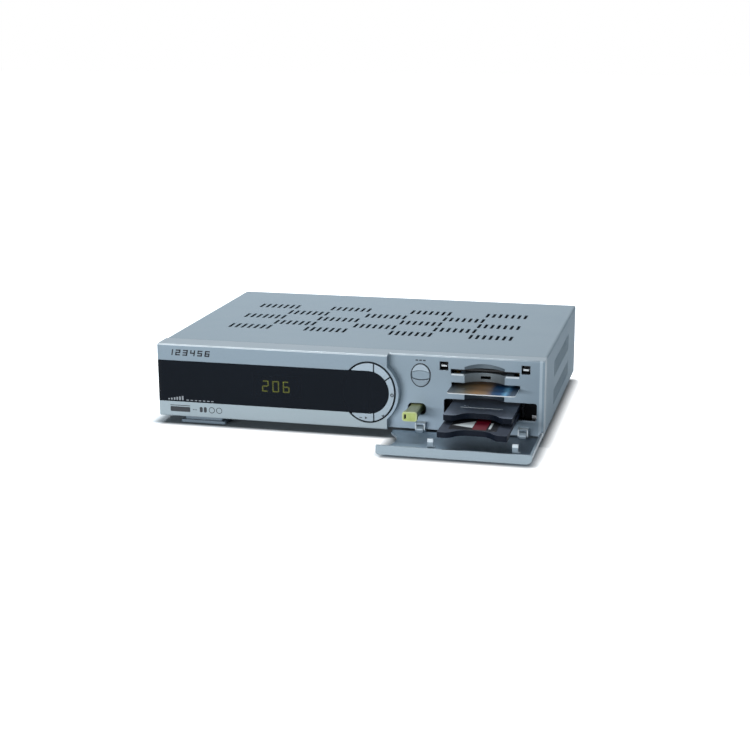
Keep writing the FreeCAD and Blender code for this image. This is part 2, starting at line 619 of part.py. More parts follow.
def ci_module(front, z):
    """Access module: flat body, waved front edge and a shallow label field."""
    x0, x1 = CARD_X - CARD_W / 2, CARD_X + CARD_W / 2
    body = rounded_z(x0, x1, front, front + MODULE_L, z, z + MODULE_T, 1.5)
    bottom = z - 1
    depths = ((-21.0, 0.0), (-17.3, 1.5), (-13.0, 6.3), (-8.0, 9.1), (0.0, 9.5),
              (8.0, 9.1), (13.0, 6.3), (17.3, 1.5), (21.0, 0.0))
    curve = Part.BSplineCurve()
    curve.interpolate([V(CARD_X + dx, front + dy, bottom) for dx, dy in depths])
    ends = [V(CARD_X + 21, front, bottom), V(CARD_X + 21, front - 2, bottom),
            V(CARD_X - 21, front - 2, bottom), V(CARD_X - 21, front, bottom)]
    edges = [curve.toShape()] + [Part.makeLine(ends[i], ends[i + 1]) for i in range(3)]
    wave = Part.Face(Part.Wire(edges)).extrude(V(0, 0, MODULE_T + 2))
    side_cuts = [box(x0 - 1, x0 + 0.6, front + 14, front + 86, z - 1, z + 1.2),
                 box(x1 - 0.6, x1 + 1, front + 14, front + 86, z - 1, z + 1.2)]
    return body.cut([wave] + side_cuts)


def module_label():
    y0 = LOWER_FRONT + 10.2
    z = LOWER_Z + MODULE_T
    return rounded_z(CARD_X - 20, CARD_X + 17, y0, y0 + 34, z, z + 0.15, 1.0)


def door_panel():
    """Door in its open place: plate below, lip at the front, wall on the right."""
    x0, x1 = DOOR_X0, HALF
    z0 = OUTER_Z
    y0, y1 = FRONT_END, HINGE_Y + HINGE_Z - FOOT_H
    plate = box(x0, x1, y0, y1, z0, z0 + DOOR_T)
    lip = box(x0, x1, y0, y0 + DOOR_T, z0, z0 + LIP)
    wall = box(x1 - DOOR_T, x1, y0, HINGE_Y, z0, z0 + LIP)
    knuckle = rod_x(x1 - DOOR_T, x1, HINGE_Y, HINGE_Z, z0 + LIP - HINGE_Z)
    half = BRACKET_HALF - CHEEK_T - SIDE_GAP
    ears = [rod_x(x - half, x + half, HINGE_Y, HINGE_Z, KNUCKLE_R) for x in HINGE_XS]
    body = joined([plate, lip, wall, knuckle] + ears)
    arc_y = HINGE_Y - (RING_Z - HINGE_Z)
    cuts = [oval_z(RING_X, arc_y, z0 - 1, z0 + LIP + 1, DOOR_ARC_RX, DOOR_ARC_RZ)]
    cuts += [rod_x(x - 5, x + 5, HINGE_Y, HINGE_Z, PIN_R) for x in HINGE_XS]
    for edge_x, toward, corner in ((x1, -1, 5.0), (x0, 1, 2.0)):
        near, far = sorted((edge_x - toward, edge_x + toward * corner))
        block = box(near, far, y0 - 1, y1 + 1, z0 - 1, z0 + corner)
        cuts.append(block.cut(rod_y(edge_x + toward * corner, y0 - 2, y1 + 2, z0 + corner, corner)))
    body = body.cut(cuts)
    hook_y = HINGE_Y - (HOOK_Z - HINGE_Z)
    hooks = []
    for x in CATCH_XS:
        hooks.append(box(x + HOOK_SHIFT - 2.3, x + HOOK_SHIFT + 2.3, hook_y - 0.6, hook_y + 0.6,
                         z0 + DOOR_T - 0.5, HOOK_TIP_Z))
        hooks.append(box(x - 0.6, x + 5.0, hook_y - 0.6, hook_y + 0.6, z0 + DOOR_T - 0.5, 11.0))
    return body.fuse(hooks).removeSplitter()


def hinge_pins():
    half = BRACKET_HALF
    return [rod_x(x - half, x + half, HINGE_Y, HINGE_Z, PIN_R) for x in HINGE_XS]


def latch_housings():
    y0 = RECESS + WALL
    solids = []
    for x in CATCH_XS:
        body = box(x - CATCH_HALF - 1, x + CATCH_HALF + 1, y0, y0 + 9.8,
                   CATCH_Z - CATCH_HALF - 1, CATCH_Z + CATCH_HALF + 1)
        solids.append(body.cut(box(x - CATCH_HALF, x + CATCH_HALF, y0 - 1, y0 + 8.6,
                                   CATCH_Z - CATCH_HALF, CATCH_Z + CATCH_HALF)))
    return solids


def latch_plunger(x):
    nose = box(x - 2.1, x + 2.1, RECESS + 0.8, RECESS + 2.2, CATCH_Z - 0.7, CATCH_Z + 0.7)
    neck = box(x - 1.0, x + 1.0, RECESS + 2.0, RECESS + 6.4, CATCH_Z - 0.7, CATCH_Z - 0.1)
    runner = box(x - CATCH_HALF + 0.05, x + CATCH_HALF - 0.05, RECESS + 6.0, RECESS + 8.6,
                 CATCH_Z - 0.7, CATCH_Z - 0.1)
    return joined([nose, neck, runner])


def main_board():
    board = box(MAIN_X0, HALF - 8, 46, DEPTH - 11, MAIN_Z, MAIN_TOP)
    return board.cut([rod_z(x, y, 0, 30, SCREW_R) for x, y in MAIN_STANDS])


def power_board():
    board = box(POWER_X0, POWER_X0 + 68, 62, DEPTH - 11, MAIN_Z, MAIN_TOP)
    return board.cut([rod_z(x, y, 0, 30, SCREW_R) for x, y in POWER_STANDS])


def board_standoffs():
    solids = []
    for x, y in MAIN_STANDS + POWER_STANDS:
        post = rod_z(x, y, FOOT_H + SHEET, MAIN_Z, 3.0)
        solids.append(post.cut(rod_z(x, y, FOOT_H + SHEET + 1, MAIN_Z + 1, SCREW_R)))
    return solids


def screw(length):
    """Pan head screw standing on z = 0 with its shank pointing down."""
    head = rod_z(0, 0, 0, HEAD_H, HEAD_R)
    shank = rod_z(0, 0, -length, 0.2, SCREW_R - 0.02)
    cross = [box(-1.6, 1.6, -0.35, 0.35, HEAD_H - 0.9, HEAD_H + 1),
             box(-0.35, 0.35, -1.6, 1.6, HEAD_H - 0.9, HEAD_H + 1)]
    return head.fuse(shank).removeSplitter().cut(cross)


def placed(shape, x, y, z, turn=0.0):
    part = shape.copy()
    part.rotate(V(0, 0, 0), V(1, 0, 0), turn)
    part.translate(V(x, y, z))
    return part


def case_screws():
    one = screw(5.0)
    solids = [placed(one, x, y, MAIN_TOP) for x, y in MAIN_STANDS + POWER_STANDS]
    solids += [placed(one, x, y + FOOT_SCREW, FOOT_H + SHEET) for x, y in FEET]
    solids += [placed(one, x, BEZEL_D + SHEET, z, -90) for x, z in BEZEL_POSTS]
    solids += [placed(one, x, FRONT_BOARD_Y + BOARD_T, z, -90) for x, z in BOARD_POSTS]
    solids += [placed(one, x, DEPTH, z, -90) for x, z in PANEL_SCREWS]
    solids += [placed(one, x, DEPTH + SHEET, z, -90) for x, z in COVER_SCREWS]
    return solids


def power_transformer():
    x = POWER_X0 + 48
    core = box(x - 14, x + 14, 98, 132, MAIN_TOP, 43.0)
    coil = box(x - 10, x + 10, 94, 136, MAIN_TOP + 4, 40.0)
    return core.fuse(coil).removeSplitter()


def power_capacitors():
    sizes = [(48.0, 171.5, 9.0, 25.0), (16.0, 146.0, 5.0, 16.0), (88.0, 100.0, 6.0, 20.0),
             (88.0, 118.0, 6.0, 20.0), (88.0, 138.0, 5.0, 18.0), (84.0, 160.0, 4.0, 12.0)]
    return [rod_z(POWER_X0 + dx, y, MAIN_TOP, MAIN_TOP + h, r) for dx, y, r, h in sizes]


def heat_sinks():
    solids = []
    for x, y in ((POWER_X0 + 47.0, 150.0), (POWER_X0 + 47.0, 78.0)):
        parts = [box(x - 16, x + 16, y, y + 2, MAIN_TOP, MAIN_TOP + 26)]
        parts += [box(x - 15 + 6 * i, x - 13.6 + 6 * i, y + 2, y + 9, MAIN_TOP + 4, MAIN_TOP + 26)
                  for i in range(6)]
        solids.append(joined(parts))
    return solids


def mains_fuse():
    x, y = POWER_X0 + 10, DEPTH - 27
    base = box(x, x + 24, y - 4, y + 4, MAIN_TOP, MAIN_TOP + 3)
    return base.fuse(rod_x(x + 1, x + 23, y, MAIN_TOP + 5, 2.6)).removeSplitter()


def board_chips():
    chips = [(0.0, 110.0, 28.0, 28.0, 3.0), (34.0, 104.0, 12.0, 20.0, 1.2), (34.0, 130.0, 12.0, 20.0, 1.2),
             (-4.0, 146.0, 14.0, 20.0, 2.4), (50.0, 84.0, 10.0, 10.0, 1.4), (4.0, 72.0, 18.0, 12.0, 2.0)]
    return [box(x - w / 2, x + w / 2, y - d / 2, y + d / 2, MAIN_TOP, MAIN_TOP + h)
            for x, y, w, d, h in chips]


def screened_can(x0, x1, y0, y1, z0, z1):
    """Tin can of thin sheet, open underneath where it stands on the board."""
    return box(x0, x1, y0, y1, z0, z1).cut(box(x0 + CAN_T, x1 - CAN_T, y0 + CAN_T, y1 - CAN_T,
                                               z0 - 1, z1 - CAN_T))


def tuner_module():
    return screened_can(24, 72, DEPTH - 59, PANEL_Y, MAIN_TOP, 50.0)


def f_connectors():
    solids = []
    for x, z in F_PLACES:
        barrel = rod_y(x, PANEL_Y, REAR_END, z, F_R)
        nut = Part.makePolygon([V(x + 6.4 * math.cos(math.radians(a)), DEPTH,
                                  z + 6.4 * math.sin(math.radians(a))) for a in range(0, 361, 60)])
        nut = Part.Face(nut).extrude(V(0, 2.0, 0))
        core = rod_y(x, REAR_END - 6.0, REAR_END + 1, z, 3.4)
        wire = rod_y(x, REAR_END - 6.5, REAR_END - 0.5, z, 0.5)
        solids.append(barrel.fuse(nut).removeSplitter().cut(core).fuse(wire))
    return solids


def rf_modulator():
    can = screened_can(84, 132, DEPTH - 51, PANEL_Y, 34.0, 58.0)
    legs = [box(x0, x1, DEPTH - 15, DEPTH - 3, MAIN_TOP, 34.5) for x0, x1 in ((84, 85.8), (108, 116))]
    legs.append(box(108, 116, DEPTH - 15, DEPTH - 3, 34.0, 34.8))
    return can.fuse(legs).removeSplitter()


def aerial_connectors():
    solids = []
    for i, (x, z) in enumerate(AERIAL_PLACES):
        barrel = rod_y(x, PANEL_Y, DEPTH + 9.0, z, 4.76)
        shoulder = rod_y(x, DEPTH, DEPTH + AERIAL_STEP, z, 6.2)
        bore = rod_y(x, DEPTH + 0.5, DEPTH + 10, z, 4.1)
        inner = rod_y(x, DEPTH, DEPTH + 8.5, z, 1.2 if i == 0 else 2.2)
        solids.append(barrel.fuse(shoulder).removeSplitter().cut(bore).fuse(inner))
    return solids


def scart_sockets():
    solids = []
    for z in SCART_Z:
        body = box(SCART_X[0], SCART_X[1], DEPTH - 21, DEPTH + 2.0, z, z + SCART_H)
        x0, x1 = SCART_X[0] + 1.6, SCART_X[1] - 1.6
        mouth = box(x0, x1, DEPTH - 9, DEPTH + 3, z + 1.6, z + SCART_H - 1.6)
        tongue = box(x0 + 3.4, x1 - 3.4, DEPTH - 10, DEPTH + 0.6, z + 5.2, z + SCART_H - 5.2)
        solids.append(body.cut(mouth).fuse(tongue).removeSplitter())
    stack = box(SCART_X[0] + 4, SCART_X[1] - 4, DEPTH - 20, DEPTH - 5, MAIN_TOP, SCART_Z[0] + 0.5)
    link = box(SCART_X[0] + 4, SCART_X[1] - 4, DEPTH - 20, DEPTH - 5, SCART_Z[0] + SCART_H - 0.5, SCART_Z[1] + 0.5)
    return joined(solids + [stack, link])


def rca_jacks():
    solids = []
    for x, z in RCA_PLACES:
        barrel = rod_y(x, PANEL_Y - 1, DEPTH + 9.0, z, 4.15)
        bore = rod_y(x, DEPTH + 0.5, DEPTH + 10, z, 1.6)
        solids.append(barrel.cut(bore))
    return solids


def rca_collars():
    solids = []
    for x, z in RCA_PLACES:
        collar = rod_y(x, PANEL_Y - 1, DEPTH + 2.6, z, 5.2)
        solids.append(collar.cut(rod_y(x, PANEL_Y - 2, REAR_END, z, 4.15)))
    return solids


def rca_housing():
    return box(-18, 16, DEPTH - 19, PANEL_Y - 1, MAIN_TOP, 57.0)


def serial_socket():
    body = box(86, 106, DEPTH - 21, PANEL_Y, MAIN_TOP, 30.0)
    shell = box(87.5, 104.5, PANEL_Y - 1, DEPTH + 5.8, 19.5, 28.5)
    holes = [rod_y(90.5 + 2.75 * i, DEPTH + 2, DEPTH + 7, 25.4, 0.6) for i in range(5)]
    holes += [rod_y(91.9 + 2.75 * i, DEPTH + 2, DEPTH + 7, 22.6, 0.6) for i in range(4)]
    optic = box(118, 132, DEPTH - 21, PANEL_Y, MAIN_TOP, 31.0)
    nose = box(120, 130, PANEL_Y - 1, DEPTH + 2.0, 19.5, 29.5)
    hole = box(122.2, 127.8, DEPTH - 6, DEPTH + 3, 21.8, 27.2)
    return [body.fuse(shell).removeSplitter().cut(holes), optic.fuse(nose).removeSplitter().cut(hole)]


def mains_inlet():
    body = box(INLET_X - 12, INLET_X + 12, DEPTH - 20, DEPTH + 2.5, 24.0, 42.0)
    foot = box(INLET_X - 10, INLET_X + 10, DEPTH - 19, DEPTH - 5, MAIN_TOP, 24.5)
    places = (INLET_X - 4.2, INLET_X + 4.2)
    mouth = [rod_y(x, DEPTH - 10, DEPTH + 4, 33, 4.2) for x in places]
    mouth = joined(mouth + [box(places[0], places[1], DEPTH - 10, DEPTH + 4, 31, 35)])
    pins = [rod_y(x, DEPTH - 10, DEPTH - 1, 33, 1.19) for x in places]
    return body.fuse(foot).removeSplitter().cut(mouth), pins


ROCKER_Y = DEPTH - 3.0
ROCKER_Z = 33.0
ROCKER_R = 6.6
ROCKER_TILT = 11.0


def mains_switch_frame():
    body = box(SWITCH_X - 9, SWITCH_X + 9, DEPTH - 17, DEPTH + 1.5, 25.0, 41.0)
    body = body.fuse(box(SWITCH_X - 7, SWITCH_X + 7, DEPTH - 16, DEPTH - 5, MAIN_TOP, 25.5)).removeSplitter()
    x0, x1 = SWITCH_X - 6.2, SWITCH_X + 6.2
    return body.cut([rod_x(x0, x1, ROCKER_Y, ROCKER_Z, ROCKER_R + FIT),
                     box(x0, x1, ROCKER_Y, DEPTH + 3, ROCKER_Z - ROCKER_R - FIT, ROCKER_Z + ROCKER_R + FIT)])


def mains_rocker():
    drum = rod_x(SWITCH_X - 6, SWITCH_X + 6, ROCKER_Y, ROCKER_Z, ROCKER_R)
    cheek = prism_x([(ROCKER_Y + 4.2, ROCKER_Z), (ROCKER_Y + 6.6, ROCKER_Z + 9.0),
                     (ROCKER_Y + 12, ROCKER_Z + 9.0), (ROCKER_Y + 12, ROCKER_Z - 9.0),
                     (ROCKER_Y + 6.6, ROCKER_Z - 9.0)], SWITCH_X - 8, SWITCH_X + 8)
    rocker = drum.cut(cheek)
    rocker.rotate(V(0, ROCKER_Y, ROCKER_Z), V(1, 0, 0), ROCKER_TILT)
    return rocker


PAD_H = 0.8


def feet():
    solids = []
    for x, y in FEET:
        w, d = FOOT_W / 2, FOOT_D
        low = rounded_z(x - w, x + w, y, y + d, PAD_H, 3.2, 1.5)
        neck = box(x - w + 3.8, x + w - 3.8, y + 2.2, y + d - 2.2, 3.0, 4.0)
        high = rounded_z(x - w + 3.0, x + w - 3.0, y + 1.4, y + d - 1.4, 3.8, FOOT_H, 1.5)
        bore = rod_z(x, y + FOOT_SCREW, 2.0, FOOT_H + 1, SCREW_R - 0.02)
        solids.append(joined([low, neck, high]).cut(bore))
    return solids


def foot_pads():
    w, d = FOOT_W / 2 - 3, FOOT_D
    return [rounded_z(x - w, x + w, y + 3, y + d - 3, 0, PAD_H, 2.0) for x, y in FEET]


def ribbon_cable():
    y0 = FRONT_BOARD_Y + BOARD_T
    y1 = 66.0
    t = 0.8
    path = [(y0, 30.0), (y0 + 16, 30.0), (y1 - 12, MAIN_TOP + t), (y1, MAIN_TOP + t)]
    under = [(y1, MAIN_TOP), (y1 - 12.4, MAIN_TOP), (y0 + 15.6, 30.0 - t), (y0, 30.0 - t)]
    return prism_x(path + under, -19.0, -1.0)


save("chassis_tray", chassis_tray())
save("rear_panel", rear_panel())
save("top_cover", top_cover())
save("front_bezel", front_bezel())
save("display_window", display_window())
save("display_module", display_module())
save_many("lit_digits", lit_digits())
save("front_board", front_board())
save_many("button_switches", button_switches())
for button_name, button_shape in ring_buttons().items():
    save(button_name, button_shape)
save("channel_button_up", channel_button(True))
save("channel_button_down", channel_button(False))
save("usb_guide", usb_guide())
save("usb_socket", usb_socket())
save("usb_stick", usb_stick())
save("usb_stick_plug", usb_stick_plug())
save("smart_card", smart_card())
save("card_chip", chip_block())
save("card_reader_lower", card_reader(CARD_X, READER_Z))
save("card_reader_upper", card_reader(UPPER_SLOT_X, UPPER_SLOT_Z))
save("reader_board", reader_board())
save_many("reader_standoffs", reader_standoffs())
save("ci_cage", ci_cage())
save_many("ci_connectors", ci_connectors())
save("ci_module_upper", ci_module(UPPER_FRONT, UPPER_Z))
save("ci_module_lower", ci_module(LOWER_FRONT, LOWER_Z))
save("module_label", module_label())
save("door_panel", door_panel())
save_many("hinge_pins", hinge_pins())
save_many("latch_housings", latch_housings())
save("latch_plunger_left", latch_plunger(CATCH_XS[0]))
save("latch_plunger_right", latch_plunger(CATCH_XS[1]))
save("main_board", main_board())
save("power_board", power_board())
save_many("board_standoffs", board_standoffs())
save_many("case_screws", case_screws())
save("power_transformer", power_transformer())
save_many("power_capacitors", power_capacitors())
save_many("heat_sinks", heat_sinks())
save("mains_fuse", mains_fuse())
save_many("board_chips", board_chips())
save("tuner_module", tuner_module())
save_many("f_connectors", f_connectors())
save("rf_modulator", rf_modulator())
save_many("aerial_connectors", aerial_connectors())
save("scart_sockets", scart_sockets())
save_many("rca_jacks", rca_jacks())
save_many("rca_collars", rca_collars())
save("rca_housing", rca_housing())
save_many("serial_optical_sockets", serial_socket())
inlet_body, inlet_pins = mains_inlet()
save("mains_inlet", inlet_body)
save_many("mains_pins", inlet_pins)
save("mains_switch_frame", mains_switch_frame())
save("mains_rocker", mains_rocker())
save_many("feet", feet())
save_many("foot_pads", foot_pads())
save("ribbon_cable", ribbon_cable())
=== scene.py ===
"""Looks of the satellite receiver: materials, small Blender-built pieces, stage, lights and camera."""
import bpy
import bmesh
import json
import math
from mathutils import Matrix, Vector


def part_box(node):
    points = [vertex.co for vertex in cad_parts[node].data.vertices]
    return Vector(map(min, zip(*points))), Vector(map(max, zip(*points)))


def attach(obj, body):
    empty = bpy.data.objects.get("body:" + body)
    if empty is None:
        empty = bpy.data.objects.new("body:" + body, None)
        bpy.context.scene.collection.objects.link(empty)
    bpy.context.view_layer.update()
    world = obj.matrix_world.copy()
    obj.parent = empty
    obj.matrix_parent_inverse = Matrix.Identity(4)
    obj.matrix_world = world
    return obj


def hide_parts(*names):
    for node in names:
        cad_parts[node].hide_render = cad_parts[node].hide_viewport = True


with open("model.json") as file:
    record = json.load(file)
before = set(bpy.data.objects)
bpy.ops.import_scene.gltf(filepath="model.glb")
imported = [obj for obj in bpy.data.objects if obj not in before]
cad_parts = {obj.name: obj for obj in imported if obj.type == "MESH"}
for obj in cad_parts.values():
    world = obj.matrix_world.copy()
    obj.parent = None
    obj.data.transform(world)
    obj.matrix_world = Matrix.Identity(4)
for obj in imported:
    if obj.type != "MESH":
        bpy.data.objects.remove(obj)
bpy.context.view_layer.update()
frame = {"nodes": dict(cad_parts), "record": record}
NODES = frame["nodes"]
MM = 0.001
SHIFT_Y = -90.25  # the part's own y = 0 is the front face; the frame is centred on the whole part
GRAIN = 2600.0  # noise scale of painted and silver plastic surfaces


def pt(x, y, z):
    """Point in metres from the part's working millimetres, whose y = 0 is the front face."""
    return Vector((x * MM, (y + SHIFT_Y) * MM, z * MM))


def lin(r, g, b):
    """Linear colour from an 8-bit screen colour."""
    out = []
    for c in (r, g, b):
        c = c / 255.0
        out.append(c / 12.92 if c <= 0.04045 else ((c + 0.055) / 1.055) ** 2.4)
    return out + [1.0]


def scaled(color, k):
    """The colour made lighter or darker."""
    return [min(1.0, c * k) for c in color[:3]] + [1.0]


class Mat:
    """A node material with a Principled shader and short helpers for procedural detail."""

    def __init__(self, name, color, rough=0.5, metal=0.0, spec=0.5, coat=0.0):
        self.mat = bpy.data.materials.new(name)
        self.mat.use_nodes = True
        self.mat.diffuse_color = color
        self.tree = self.mat.node_tree
        self.bsdf = self.tree.nodes["Principled BSDF"]
        self.color = color
        self.bsdf.inputs["Base Color"].default_value = color
        self.bsdf.inputs["Roughness"].default_value = rough
        self.bsdf.inputs["Metallic"].default_value = metal
        self.bsdf.inputs["Specular IOR Level"].default_value = spec
        self.bsdf.inputs["Coat Weight"].default_value = coat
        self.bsdf.inputs["Coat Roughness"].default_value = 0.12
        self.coords = None

    def node(self, kind, **values):
        """New node; each value is one of its settings or, failing that, of its inputs."""
        n = self.tree.nodes.new(kind)
        for key, value in values.items():
            if hasattr(n, key):
                setattr(n, key, value)
            else:
                n.inputs[key.replace("_", " ")].default_value = value
        return n

    def link(self, a, b):
        self.tree.links.new(a, b)

    def place(self):
        """Object coordinates, in metres."""
        if self.coords is None:
            self.coords = self.node("ShaderNodeTexCoord")
        return self.coords.outputs["Object"]

    def noise(self, scale, detail=2.0, stretch=None):
        """Noise from 0 to 1, drawn out along the axes whose stretch is small."""
        n = self.node("ShaderNodeTexNoise", Scale=scale, Detail=detail)
        if stretch:
            m = self.node("ShaderNodeMapping")
            m.inputs["Scale"].default_value = stretch
            self.link(self.place(), m.inputs["Vector"])
            self.link(m.outputs["Vector"], n.inputs["Vector"])
        else:
            self.link(self.place(), n.inputs["Vector"])
        return n.outputs["Fac"]

    def ramp(self, source, stops):
        """Colours by place from 0 to 1."""
        r = self.node("ShaderNodeValToRGB")
        r.color_ramp.elements[0].position, r.color_ramp.elements[0].color = stops[0]
        r.color_ramp.elements[1].position, r.color_ramp.elements[1].color = stops[-1]
        for pos, color in stops[1:-1]:
            e = r.color_ramp.elements.new(pos)
            e.color = color
        self.link(source, r.inputs["Fac"])
        return r.outputs["Color"]

    def map_range(self, source, start, end, low=0.0, high=1.0, smooth=False):
        """low where source is at start, high where it is at end, and a passage between."""
        m = self.node("ShaderNodeMapRange", interpolation_type="SMOOTHSTEP" if smooth else "LINEAR")
        for key, value in (("From Min", start), ("From Max", end), ("To Min", low), ("To Max", high)):
            m.inputs[key].default_value = value
        self.link(source, m.inputs["Value"])
        return m.outputs["Result"]

    def grainy(self, scale, color_low, color_high, detail=2.0):
        """Fine noise between two colours."""
        return self.ramp(self.noise(scale, detail), [(0.3, color_low), (0.7, color_high)])

    def mottle(self, scale, amount, detail=3.0, stretch=None):
        """Base colour varied a little lighter and darker by noise."""
        n = self.noise(scale, detail, stretch)
        c = self.ramp(n, [(0.3, scaled(self.color, 1 - amount)), (0.7, scaled(self.color, 1 + amount))])
        self.link(c, self.bsdf.inputs["Base Color"])
        return c

    def rough_noise(self, scale, low, high, stretch=None):
        """Roughness that wanders between two values."""
        noise = self.noise(scale, 3.0, stretch)
        self.link(self.map_range(noise, 0.0, 1.0, low, high), self.bsdf.inputs["Roughness"])

    def bump(self, source, distance, strength=1.0, edge=0.0):
        """Fine relief; edge is the radius in metres over which sharp edges catch the light."""
        b = self.node("ShaderNodeBump")
        b.inputs["Strength"].default_value = strength
        b.inputs["Distance"].default_value = distance
        self.link(source, b.inputs["Height"])
        if edge:
            soft = self.node("ShaderNodeBevel", samples=4)
            soft.inputs["Radius"].default_value = edge
            self.link(soft.outputs["Normal"], b.inputs["Normal"])
        self.link(b.outputs["Normal"], self.bsdf.inputs["Normal"])

    def part_of(self, vector, name):
        """One of a vector's three numbers."""
        sep = self.node("ShaderNodeSeparateXYZ")
        self.link(vector, sep.inputs["Vector"])
        return sep.outputs[name]

    def axis(self, name):
        """One object coordinate, in metres."""
        return self.part_of(self.place(), name)

    def facing(self, name):
        """One number of the surface normal."""
        return self.part_of(self.node("ShaderNodeNewGeometry").outputs["Normal"], name)

    def math(self, operation, a, b=0.0, c=0.0):
        """Result of a sum on numbers or on other nodes' results."""
        n = self.node("ShaderNodeMath", operation=operation)
        for i, v in enumerate((a, b, c)):
            if isinstance(v, (int, float)):
                n.inputs[i].default_value = v
            else:
                self.link(v, n.inputs[i])
        return n.outputs["Value"]

    def between(self, source, low, high):
        """1 where source lies between the two values, else 0."""
        return self.times(self.math("GREATER_THAN", source, low), self.math("LESS_THAN", source, high))

    def times(self, *factors):
        """All the factors multiplied."""
        product = factors[0]
        for factor in factors[1:]:
            product = self.math("MULTIPLY", product, factor)
        return product

    def mix(self, fac, a, b):
        """Colour a where fac is 0 and b where it is 1."""
        n = self.node("ShaderNodeMix", data_type="RGBA")
        self.link(fac, n.inputs[0])
        for value, place in ((a, 6), (b, 7)):
            if isinstance(value, (list, tuple)):
                n.inputs[place].default_value = value
            else:
                self.link(value, n.inputs[place])
        return n.outputs[2]


def paint(name, color, rough=0.36, metal=0.12, spec=0.5):
    """Silver paint with a fine grain and softly lit edges."""
    m = Mat(name, color, rough, metal, spec)
    m.mottle(GRAIN, 0.05)
    m.rough_noise(35.0, rough - 0.05, rough + 0.06)
    m.bump(m.noise(GRAIN * 0.7), 0.00002, 0.3, 0.0005)
    return m


def moulded(name, color, rough=0.5, grain=1800.0, depth=0.00003, spec=0.4, amount=0.10):
    """Moulded plastic with a fine texture."""
    m = Mat(name, color, rough, 0.0, spec)
    m.mottle(grain, amount)
    m.rough_noise(60.0, rough - 0.07, rough + 0.08)
    m.bump(m.noise(grain), depth, 0.5, 0.0003)
    return m.mat


def metal(name, color, rough=0.32, stretch=(1.0, 14.0, 1.0)):
    """Sheet or turned metal, brushed across the stretched axis."""
    scale = 700.0
    m = Mat(name, color, rough, 1.0)
    m.mottle(scale, 0.08, 3.0, stretch)
    m.rough_noise(scale * 0.6, rough - 0.08, rough + 0.1, stretch)
    m.bump(m.noise(scale, 2.0, stretch), 0.000012, 0.4, 0.0002)
    return m.mat


def door_material():
    """Silver outside; painted shade and painted reflection darken the tray's inner floor, painted light lifts its
    back left and pales the lip, and painted highlights brighten the hook tips and knuckle end.
    """
    m = Mat("door_plastic", lin(138, 154, 166), 0.34, 0.12, 0.5)
    silver = m.mottle(GRAIN, 0.05)
    x, y, z = m.axis("X"), m.axis("Y"), m.axis("Z")
    # painted shade and painted reflection of the modules: the inner floor of the tray is darker grey-blue
    painted_tray_shade = m.times(m.between(z, 0.0053, 0.0057), m.between(y, pt(0, -54.4, 0).y, pt(0, 6.0, 0).y))
    dark = m.grainy(1900.0, lin(76, 91, 108), lin(90, 108, 126), 3.0)
    # painted light: the back left of the tray floor is lifted out of its shadow
    back_left_painted_light = m.times(m.map_range(x, 0.100, 0.066, smooth=True),
                        m.map_range(y, pt(0, -52, 0).y, pt(0, -40, 0).y, smooth=True))
    dark = m.mix(back_left_painted_light, dark, lin(148, 170, 188))
    # painted light: the front lip is paler than the rest of the door
    lip = m.math("LESS_THAN", y, pt(0, -56.1, 0).y)
    c = m.mix(lip, m.mix(painted_tray_shade, silver, dark), m.grainy(GRAIN, lin(147, 162, 171), lin(155, 170, 180)))
    # painted highlights on the knuckle end and on the hook tips
    knuckle = m.times(m.math("GREATER_THAN", x, 0.1575), m.math("GREATER_THAN", z, 0.0088),
                      m.math("GREATER_THAN", y, pt(0, 1.5, 0).y))
    hook_tip_highlight = m.between(z, 0.0142, 0.0170)
    c = m.mix(m.math("MAXIMUM", knuckle, hook_tip_highlight), c,
              m.grainy(1900.0, lin(206, 216, 223), lin(218, 227, 233)))
    m.link(c, m.bsdf.inputs["Base Color"])
    m.rough_noise(35.0, 0.30, 0.40)
    m.bump(m.noise(1800.0), 0.00002, 0.35, 0.0005)
    return m.mat


def cover_material():
    """Painted sheet, darker in the seam behind the front frame and less glossy on its sides."""
    m = paint("cover_paint", COVER, 0.50, 0.1, 0.2)
    seam = m.between(m.axis("Y"), pt(0, 20.4, 0).y, pt(0, 20.95, 0).y)
    flank = m.math("GREATER_THAN", m.math("ABSOLUTE", m.facing("X")), 0.7)
    m.link(m.math("SUBTRACT", 0.2, m.times(flank, 0.18)), m.bsdf.inputs["Specular IOR Level"])
    m.link(m.mix(seam, m.mottle(GRAIN, 0.05), lin(104, 119, 130)), m.bsdf.inputs["Base Color"])
    return m.mat


